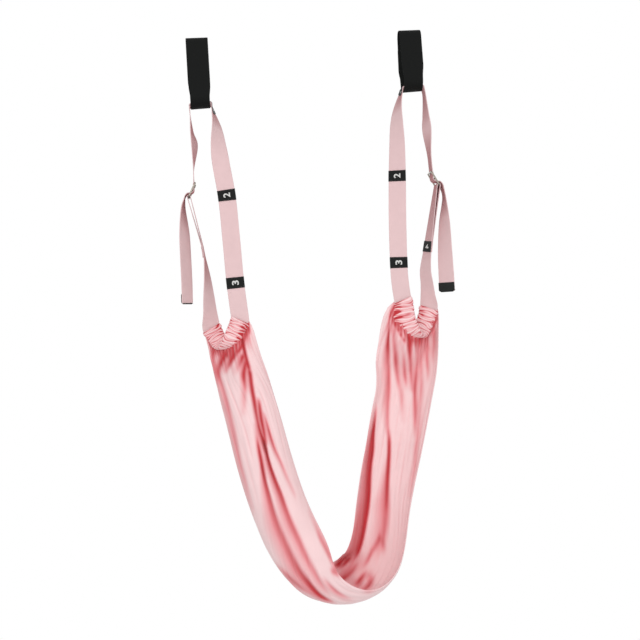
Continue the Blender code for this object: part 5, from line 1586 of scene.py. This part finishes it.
def put_depth(mesh, values):
    """Stores each point's painted shade, from 0 on a crest to 1 in a pinch."""
    layer = mesh.attributes.new("painted_fold_shade", "FLOAT", "POINT")
    layer.data.foreach_set("value", np.asarray(values, np.float32))


# Hammock cloth


def top_points(side, across, tucked):
    """Points of the cloth's top edge round the channel; tucked, they lie inside the channel's seam."""
    share = (across + 1) / 2
    along = TOP_INSET + (sum(channel_runs(side)) - 2 * TOP_INSET) * share
    table = TOP_SHIFT_SHARES[side]
    shift = np.interp(share, np.linspace(0.0, 1.0, len(table)), table)
    radius = TOP_RADIUS + (TUCK_RADIUS - TOP_RADIUS) * tucked
    radius = radius - (radius - U_RADIUS) * smoothstep((np.abs(shift) - 0.7) / 0.3) * tucked
    shift = shift - (shift - np.clip(shift, -TUCK_SHIFT_SHARE, TUCK_SHIFT_SHARE)) * tucked
    out, depth, height = channel_spot(side, along, radius)
    return np.stack((SIDES[side] * (out + shift * CHANNEL_HALF_WIDTH), depth, height), axis=1)


def cloth_base():
    """The cloth before its folds, with its lengths along and shares across: left to right, front to rear."""
    table = np.array(smooth(CLOTH_SHARES, 24))
    line = np.stack((table[:, 0] * HAMMOCK_HALF_SPAN, AXIS_HEIGHT - table[:, 1] * HAMMOCK_DROP), axis=1)
    lengths = np.concatenate(((0.0,), np.cumsum(np.linalg.norm(np.diff(line, axis=0), axis=1))))
    whole = lengths[-1]
    t = np.linspace(0.0, 1.0, CLOTH_ROWS)
    alongs = whole * (t - ROW_CROWDING * np.sin(2 * math.pi * t) / (2 * math.pi))
    v = np.linspace(-1.0, 1.0, CLOTH_COLUMNS)
    angle = v * TROUGH_ANGLE
    reach = SLOPE_REACH_SHARE * CLOTH_WIDTH
    rearward = np.array((0.0, 1.0, 0.0))
    grid = np.empty((CLOTH_ROWS, CLOTH_COLUMNS, 3))
    for i, along in enumerate(alongs):
        x_share, drop_share, width_share, sag_share, turn_share = [
            np.interp(along, lengths, table[:, k]) for k in range(5)
        ]
        ahead, behind = [
            np.array([np.interp(along + way * reach, lengths, line[:, k]) for k in (0, 1)]) for way in (1, -1)
        ]
        run = unit(ahead - behind)
        centre = np.array((x_share * HAMMOCK_HALF_SPAN, 0.0, AXIS_HEIGHT - drop_share * HAMMOCK_DROP))
        inward = np.array((-run[1], 0.0, run[0]))
        turn = turn_share * QUARTER
        across_way = rearward * math.cos(turn) + inward * math.sin(turn)
        open_way = inward * math.cos(turn) - rearward * math.sin(turn)
        p = width_share * CLOTH_WIDTH / 2 * np.sin(angle) / math.sin(TROUGH_ANGLE)
        q = sag_share * CLOTH_WIDTH * ((1 - np.cos(angle)) / (1 - math.cos(TROUGH_ANGLE)) - 0.5)
        hung = centre + across_way * p[:, None] + open_way * q[:, None]
        side = "left" if along < whole / 2 else "right"
        first = CLOTH_SHARES[0] if side == "left" else CLOTH_SHARES[-1]
        start = np.array((first[0] * HAMMOCK_HALF_SPAN, 0.0, AXIS_HEIGHT - first[1] * HAMMOCK_DROP))
        from_end = min(along, whole - along)
        tucked = 1 - smoothstep(from_end / TUCK_REACH)
        level = top_points(side, v if side == "left" else -v, tucked) + (centre - start) * (1.0, 0.0, 1.0)
        straight = TOP_STRAIGHT[side] * (1 - LIP_EARLY_SHARE * np.abs(v) ** 3)
        hold = smoothstep((from_end - straight) / TOP_BLEND[side])[:, None]
        grid[i] = level * (1 - hold) + hung * hold
        if side == "right":
            grid[i, :, 0] -= np.interp(from_end, *np.transpose(LIP_SHIFTS)) * smoothstep((v - 0.2) / 0.7)
        dip = smoothstep(1 - abs(along / whole - LIP_DIP_AT) / LIP_DIP_REACH)
        grid[i, :, 2] -= LIP_DIP * dip * smoothstep((v - 0.55) / 0.4)
    return grid, v


def arc_places(grid):
    """Each point's length along and across the cloth, the latter from its middle column."""
    steps = np.linalg.norm(np.diff(grid, axis=1), axis=2)
    across = np.concatenate((np.zeros((len(grid), 1)), np.cumsum(steps, axis=1)), axis=1)
    across -= across[:, [CLOTH_COLUMNS // 2]]
    middle = grid[:, CLOTH_COLUMNS // 2]
    runs = np.linalg.norm(np.diff(middle, axis=0), axis=1)
    along = np.concatenate(((0.0,), np.cumsum(runs)))
    return np.stack(np.broadcast_arrays(along[:, None], across), axis=-1)


def camera_axes():
    """The photograph's camera: its place and its axes to the right, up and away."""
    away = Vector((-math.sin(CAMERA_AZIMUTH), math.cos(CAMERA_AZIMUTH), 0.0))
    stand = Vector(CAMERA_TARGET) - away * CAMERA_DISTANCE
    turn = away.to_track_quat("-Z", "Y").to_matrix() @ Matrix.Rotation(CAMERA_ROLL, 3, "Z")
    return stand, turn


def to_photo(points):
    """Pixels of the photograph at which points in space lie, and how far they are."""
    stand, turn = camera_axes()
    local = (points - np.array(stand)) @ np.array(turn)
    far = -local[..., 2]
    scale = CAMERA_DISTANCE / METRES_PER_PIXEL
    half = PICTURE_PIXELS / 2
    return np.stack((half + scale * local[..., 0] / far, half - scale * local[..., 1] / far), axis=-1), far


class Cloth:
    """The cloth's grid, how far its folds push each point, and how much painted shade each of its two faces
    gets.
    """

    def __init__(self, grid):
        self.grid = grid
        self.normals = row_normals(grid)
        self.places = arc_places(grid)
        self.push = np.zeros(grid.shape)
        self.tones = np.zeros((2, *grid.shape[:2]))
        self.pixels, self.far = to_photo(grid)
        self.away = unit(grid - np.array(camera_axes()[0]))
        self.facing = -np.sum(self.away * self.normals, axis=-1)

    def find(self, pixel):
        """The row and column of the nearest point of the cloth that the photograph shows at a pixel."""
        off = np.linalg.norm(self.pixels - pixel, axis=-1)
        near = off < max(1.6, off.min() + 0.3)
        return np.unravel_index(np.argmin(np.where(near, self.far, np.inf)), off.shape)

    def press(self, places, path, depth, left, right, ways, face):
        """Presses a fold along a path and paints its shade: along its line on one face, and beside its line
        on the other.

        Each row of the path has two places, the distance from the viewer, a strength and a width share.
        """
        reach = PROFILE_REACH * max(left, right)
        low, high = path[:, :2].min(axis=0) - reach, path[:, :2].max(axis=0) + reach
        inside = ((places > low) & (places < high)).all(axis=-1)
        spots, far = places[inside], self.far[inside]
        best, nearest = np.full(len(spots), np.inf), np.ones((len(spots), 3))
        way = np.ones(len(spots))
        for here, there in zip(path[:-1], path[1:]):
            run = there[:2] - here[:2]
            t = np.clip((spots - here[:2]) @ run / max(run @ run, 1e-12), 0.0, 1.0)
            off = spots - (here[:2] + t[:, None] * run)
            distance = np.linalg.norm(off, axis=1)
            nearer = distance < best
            best[nearer] = distance[nearer]
            nearest[nearer] = (here[2:] + (there[2:] - here[2:]) * t[:, None])[nearer]
            way[nearer] = (off[:, 0] * run[1] - off[:, 1] * run[0])[nearer]
        path_far, strength, share = nearest.T
        width = np.where(way < 0, left, right) * share
        strength = strength * (1 - smoothstep(np.abs(far - path_far) / LAYER_REACH - 1))
        amount = depth * strength * bell(best, width)
        self.push[inside] += ways[inside] * amount[:, None]
        # Painted shade, strongest on the fold's line and fading across its reach, and a band beside the line
        # on the other face
        near = np.clip(1 - best / (PAINTED_SHADE_REACH * width + PAINTED_SHADE_EDGE), 0.0, 1.0)
        beside = bell(best - BACK_SHADE_AT * width, BACK_SHADE_WIDTH * width + PAINTED_SHADE_EDGE)
        for side, shade in ((face, PAINTED_SHADE_GAIN * near), (1 - face, BACK_SHADE * beside)):
            shade = np.clip(strength * shade, 0.0, 1.0)
            self.tones[side][inside] = 1 - (1 - self.tones[side][inside]) * (1 - shade)

    def press_photo(self, path, depth, left, right):
        """Presses a fold whose path is given in the photograph, away from its viewer."""
        stations = np.array([(*station, 1.0)[:4] for station in path])
        rows, columns = np.array([self.find(place) for place in stations[:, :2]]).T
        stations = np.insert(stations, 2, self.far[rows, columns], axis=1)
        stations[:, :2] *= METRES_PER_PIXEL
        face = 0 if np.median(self.facing[rows, columns]) > 0 else 1
        places = self.pixels * METRES_PER_PIXEL
        self.press(places, np.array(smooth(stations, 6)), depth, left, right, self.away, face)

    def press_share(self, path, depth, left, right, sign):
        """Presses a fold whose path is given in shares along and across the cloth."""
        stations = []
        for along, across, strength in path:
            row, column = (CLOTH_ROWS - 1) * along, (across + 1) / 2 * (CLOTH_COLUMNS - 1)
            spot = int(round(row)), int(round(column))
            stations.append((*self.places[spot], self.far[spot], strength, 1.0))
        self.press_own(np.array(smooth(stations, 6)), depth, left, right, sign)

    def press_own(self, path, depth, left, right, sign):
        """Presses a fold along a path on the cloth itself, along its normals."""
        self.press(self.places, path, depth, left, right, sign * self.normals, 0 if sign < 0 else 1)


def blurred(values, rows, columns):
    """A grid of values, softened along and across by so many steps."""
    for axis, reach in ((0, rows), (1, columns)):
        kernel = np.exp(-0.5 * (np.arange(-3 * reach, 3 * reach + 1) / reach) ** 2)
        kernel /= kernel.sum()
        pad = [(0, 0)] * values.ndim
        pad[axis] = (3 * reach, 3 * reach)
        wide = np.pad(values, pad, mode="reflect", reflect_type="odd")
        values = np.apply_along_axis(lambda line: np.convolve(line, kernel, "valid"), axis, wide)
    return values


def press_gathers(cloth, depth, reach):
    """Small gathers below each channel, as many on one face as on the other, each pinched at the seam; each
    gather and pinch gets its painted shade.
    """
    draw = np.random.default_rng(5)
    for row, way in ((0, 1.0), (CLOTH_ROWS - 1, -1.0)):
        for k in range(GATHER_COUNT):
            v = -0.97 + 1.94 * (k + draw.uniform(0.2, 0.8)) / GATHER_COUNT
            drift = draw.uniform(-0.05, 0.05)
            run = reach * draw.uniform(0.35, 1.25)
            sign = 1.0 if k % 2 else -1.0
            column = int(round((v + 1) / 2 * (CLOTH_COLUMNS - 1)))
            start = cloth.places[row, column]
            path = np.array([
                (*(start + (way * run * t, drift * 0.08 * t)), cloth.far[row, column], (1 - t) ** 1.3, 1.0)
                for t in np.linspace(0.0, 1.0, 5)
            ])
            widths = draw.uniform(1.6, 3.2, 2) * MM
            cloth.press_own(path, depth * draw.uniform(0.45, 1.0), *widths, sign)
            pinch = path[[0, 0, 0]]
            pinch[:, 0] += way * np.array(PINCH_AT)
            pinch[:, 3] = PINCH_STRENGTHS
            cloth.press_own(pinch, PINCH_SHARE * depth, *PINCH_WIDTHS, sign)


def press_ripples(cloth):
    """Faint ripples along the cloth, as a knitted sheet has when it hangs in folds."""
    draw = np.random.default_rng(9)
    along, across = cloth.places[..., 0], cloth.places[..., 1]
    for _ in range(RIPPLE_COUNT):
        pitch = draw.uniform(9.0, 22.0) * MM
        bend, phase, slow = draw.uniform(0.004, 0.012), draw.uniform(0.0, 2 * math.pi), draw.uniform(4.0, 9.0)
        wave = np.sin(2 * math.pi * (across + bend * np.sin(slow * along + phase)) / pitch + phase)
        swell = 0.5 + 0.5 * np.sin(slow * 1.7 * along + 3 * phase)
        cloth.push += cloth.normals * (RIPPLE_HEIGHT * wave * swell)[..., None]


def hem_paths(cloth, middle, normals, half):
    """Stitch lines inside the hem along both lips, on both faces of the cloth."""
    inset = sizes().hem - HEM_SEAM_INSET
    across = cloth.places[:, :, 1]
    paths = []
    for line in (across[:, 0] + inset, across[:, -1] - inset):
        for way in (1.0, -1.0):
            surface = middle + normals * (way * (half + HEM_SEAM_LIFT))[..., None]
            paths.append(np.array([
                [np.interp(line[i], across[i], surface[i, :, k]) for k in range(3)]
                for i in range(3, CLOTH_ROWS - 3)
            ]))
    return paths


def build_hammock():
    """The cloth between the channels: a knitted sheet in a trough, with its folds and hems."""
    size = sizes()
    grid, v = cloth_base()
    grid[6:-6] = blurred(grid, 3, 1)[6:-6]
    cloth = Cloth(grid)
    for depth, left, right, path in PHOTO_FOLDS.values():
        cloth.press_photo(path, depth * MM, left * MM, right * MM)
    for depth, left, right, path in HIDDEN_FOLDS:
        cloth.press_share(path, depth * MM, left * MM, right * MM, -1.0)
    press_ripples(cloth)
    press_gathers(cloth, size.gather_depth, size.gather_reach)
    middle = grid + blurred(cloth.push, 2, 1)
    normals = row_normals(blurred(middle, 1, 1))
    # How far each point lies below its softened surroundings: hollows of the cloth, which get painted shade
    hollow = np.sum((blurred(middle, 4, 8) - middle - blurred(grid, 4, 8) + grid) * normals, axis=-1)
    lip = np.minimum(v + 1, 1 - v)[None, :] / 2 * np.ptp(cloth.places[..., 1], axis=1)[:, None]
    hem = smoothstep((size.hem + HEM_STEP / 2 - lip) / HEM_STEP)
    round_off = np.sqrt(np.clip(lip / LIP_ROUNDING, 0.05, 1.0))
    half = size.cloth_wall / 2 * (1 + HEM_THICKENING * hem) * round_off
    outer, inner = middle + normals * half[..., None], middle - normals * half[..., None]
    mesh = slab("hammock_cloth", outer, inner, cloth.places[..., ::-1])
    # Painted shade on each face: the folds' painted shade, made darker in the cloth's hollows
    deep = [
        1 - (1 - blurred(tone, 1, 1)) * (1 - HOLLOW_PAINTED_SHADE * np.clip(way * hollow / HOLLOW_DEPTH, 0.0, 1.0))
        for way, tone in zip((1.0, -1.0), cloth.tones)
    ]
    put_depth(mesh, np.concatenate([np.clip(face, 0.0, 1.0).ravel() for face in deep]))
    piece = make_object("hammock_cloth", mesh, knitted_cloth())
    place_piece(piece, "sling", "hammock_cloth", "hammock")
    paths = hem_paths(cloth, middle, normals, half)
    hem_seam = (size.stitch_pitch, size.stitch_length, size.thread)
    seam = stitched("hammock_hem_seam", paths, pink_thread(), *hem_seam)
    place_piece(seam, "sling", "thread")


# Camera, lights and floor


def add_lamp(name, spot, watts, size):
    """A soft square lamp that shines at the middle of the swing."""
    light = bpy.data.lights.new(name, "AREA")
    light.energy = watts
    light.size = size
    lamp = bpy.data.objects.new(name, light)
    lamp.location = spot
    lamp.rotation_mode = "QUATERNION"
    lamp.rotation_quaternion = (Vector(LAMP_AIM) - Vector(spot)).to_track_quat("-Z", "Y")
    bpy.context.scene.collection.objects.link(lamp)


def build_camera():
    """The photograph's viewpoint."""
    stand, turn = camera_axes()
    lens = bpy.data.cameras.new("photo_camera")
    lens.sensor_width = CAMERA_SENSOR
    lens.lens = CAMERA_SENSOR * CAMERA_DISTANCE / (METRES_PER_PIXEL * PICTURE_PIXELS)
    camera = bpy.data.objects.new("photo_camera", lens)
    camera.matrix_world = Matrix.Translation(stand) @ turn.to_4x4()
    bpy.context.scene.collection.objects.link(camera)
    bpy.context.scene.camera = camera


def build_world():
    """Plain soft light from all round, seen as white."""
    world = bpy.data.worlds.new("studio")
    world.use_nodes = True
    bpy.context.scene.world = world
    tree = world.node_tree
    tree.nodes.clear()
    path = add_node(tree, "ShaderNodeLightPath", output=None)
    mirrored = (path["Is Glossy Ray"], path["Is Transmission Ray"])
    seen = (path["Is Camera Ray"], add_node(tree, "ShaderNodeMath", mirrored, operation="MAXIMUM"))
    share = add_node(tree, "ShaderNodeMath", seen, operation="MAXIMUM")
    light, white = (
        add_node(tree, "ShaderNodeBackground", {"Color": (1.0, 1.0, 1.0, 1.0), "Strength": strength})
        for strength in (WORLD_LIGHT, 1.0)
    )
    both = add_node(tree, "ShaderNodeMixShader", (share, light, white))
    add_node(tree, "ShaderNodeOutputWorld", (both,), output=None)


def build_floor():
    """A plain pale disc well below the swing, which keeps its shadow and fades to white at its rim."""
    work = bmesh.new()
    bmesh.ops.create_circle(work, cap_ends=True, segments=96, radius=FLOOR_RADIUS)
    bmesh.ops.translate(work, verts=work.verts[:], vec=(0.0, 0.0, CAD_BOX[0][2] - FLOOR_DROP))
    mesh = bpy.data.meshes.new("studio_floor")
    work.to_mesh(mesh)
    work.free()
    material, tree, shader = new_material("matt_studio_floor", 0.9)
    shader.inputs["Base Color"].default_value = rgba(colours().floor)
    where = add_node(tree, "ShaderNodeTexCoord", output="Object")
    level = add_node(tree, "ShaderNodeVectorMath", (where, (1.0, 1.0, 0.0)), operation="MULTIPLY")
    span = add_node(tree, "ShaderNodeVectorMath", (level,), output="Value", operation="LENGTH")
    fading = {"Value": span, "From Min": FLOOR_FADE[0], "From Max": FLOOR_FADE[1]}
    fade = add_node(tree, "ShaderNodeMapRange", fading, interpolation_type="SMOOTHSTEP")
    seen = add_node(tree, "ShaderNodeLightPath", output="Is Camera Ray")
    share = add_node(tree, "ShaderNodeMath", (fade, seen), operation="MULTIPLY")
    white = add_node(tree, "ShaderNodeEmission", {"Strength": 1.0})
    both = add_node(tree, "ShaderNodeMixShader", (share, shader.outputs[0], white))
    tree.links.new(both, tree.get_output_node("ALL").inputs["Surface"])
    floor = make_object("studio_floor", mesh, material)


# Operators, one for each group of pieces


class SWING_OT_hangers(bpy.types.Operator):
    """Make the two black loops that go over the bar"""

    bl_idname = "swing.hangers"
    bl_label = "Hanger Loops"

    def execute(self, context):
        for side in SIDES:
            build_hanger(side)
        return {"FINISHED"}


class SWING_OT_straps(bpy.types.Operator):
    """Make the two pink straps with their length labels"""

    bl_idname = "swing.straps"
    bl_label = "Straps and Labels"

    def execute(self, context):
        for side in SIDES:
            route, crown_length, sewn = strap_route(side)
            sign = build_strap(side, route, sewn)
            build_labels(side, route, crown_length, sewn, sign)
        return {"FINISHED"}


class SWING_OT_buckles(bpy.types.Operator):
    """Make the two three-bar buckles"""

    bl_idname = "swing.buckles"
    bl_label = "Buckles"

    def execute(self, context):
        for side in SIDES:
            build_buckle(side)
        return {"FINISHED"}


class SWING_OT_tails(bpy.types.Operator):
    """Make the two free tails with their end tapes"""

    bl_idname = "swing.tails"
    bl_label = "Tails"

    def execute(self, context):
        for side in SIDES:
            build_tail(side)
        return {"FINISHED"}


class SWING_OT_channels(bpy.types.Operator):
    """Make the two gathered channels that the straps run through"""

    bl_idname = "swing.channels"
    bl_label = "Channels"

    def execute(self, context):
        for side in SIDES:
            build_channel(side)
        return {"FINISHED"}


class SWING_OT_hammock(bpy.types.Operator):
    """Make the hammock cloth with its folds and hems"""

    bl_idname = "swing.hammock"
    bl_label = "Hammock Cloth"

    def execute(self, context):
        build_hammock()
        return {"FINISHED"}


class SWING_OT_stage(bpy.types.Operator):
    """Make the camera, the soft lights, the white surroundings and the floor"""

    bl_idname = "swing.stage"
    bl_label = "Studio"

    def execute(self, context):
        bpy.context.scene.view_settings.view_transform = "Standard"
        build_camera()
        build_world()
        build_floor()
        for lamp in LAMPS:
            add_lamp(*lamp)
        return {"FINISHED"}


class SWING_PT_panel(bpy.types.Panel):
    """Buttons and settings of the swing"""

    bl_idname = "SWING_PT_panel"
    bl_label = "Yoga Swing"
    bl_space_type = "VIEW_3D"
    bl_region_type = "UI"
    bl_category = "Yoga Swing"

    def draw(self, context):
        for operator in OPERATORS:
            self.layout.operator(operator.bl_idname)
        for group in (context.scene.swing_colours, context.scene.swing_sizes):
            box = self.layout.box()
            for name in group.bl_rna.properties.keys():
                if name not in {"rna_type", "name"}:
                    box.prop(group, name)


OPERATORS = (
    SWING_OT_stage, SWING_OT_hangers, SWING_OT_straps, SWING_OT_buckles, SWING_OT_tails, SWING_OT_channels,
    SWING_OT_hammock,
)
CLASSES = (SwingColours, SwingSizes, *OPERATORS, SWING_PT_panel)


def register():
    for cls in CLASSES:
        bpy.utils.register_class(cls)
    bpy.types.Scene.swing_colours = PointerProperty(type=SwingColours)
    bpy.types.Scene.swing_sizes = PointerProperty(type=SwingSizes)


def unregister():
    del bpy.types.Scene.swing_sizes
    del bpy.types.Scene.swing_colours
    for cls in reversed(CLASSES):
        bpy.utils.unregister_class(cls)


def main():
    register()
    for operator in OPERATORS:
        group, name = operator.bl_idname.split(".")
        getattr(getattr(bpy.ops, group), name)()


if __name__ == "__main__":
    main()
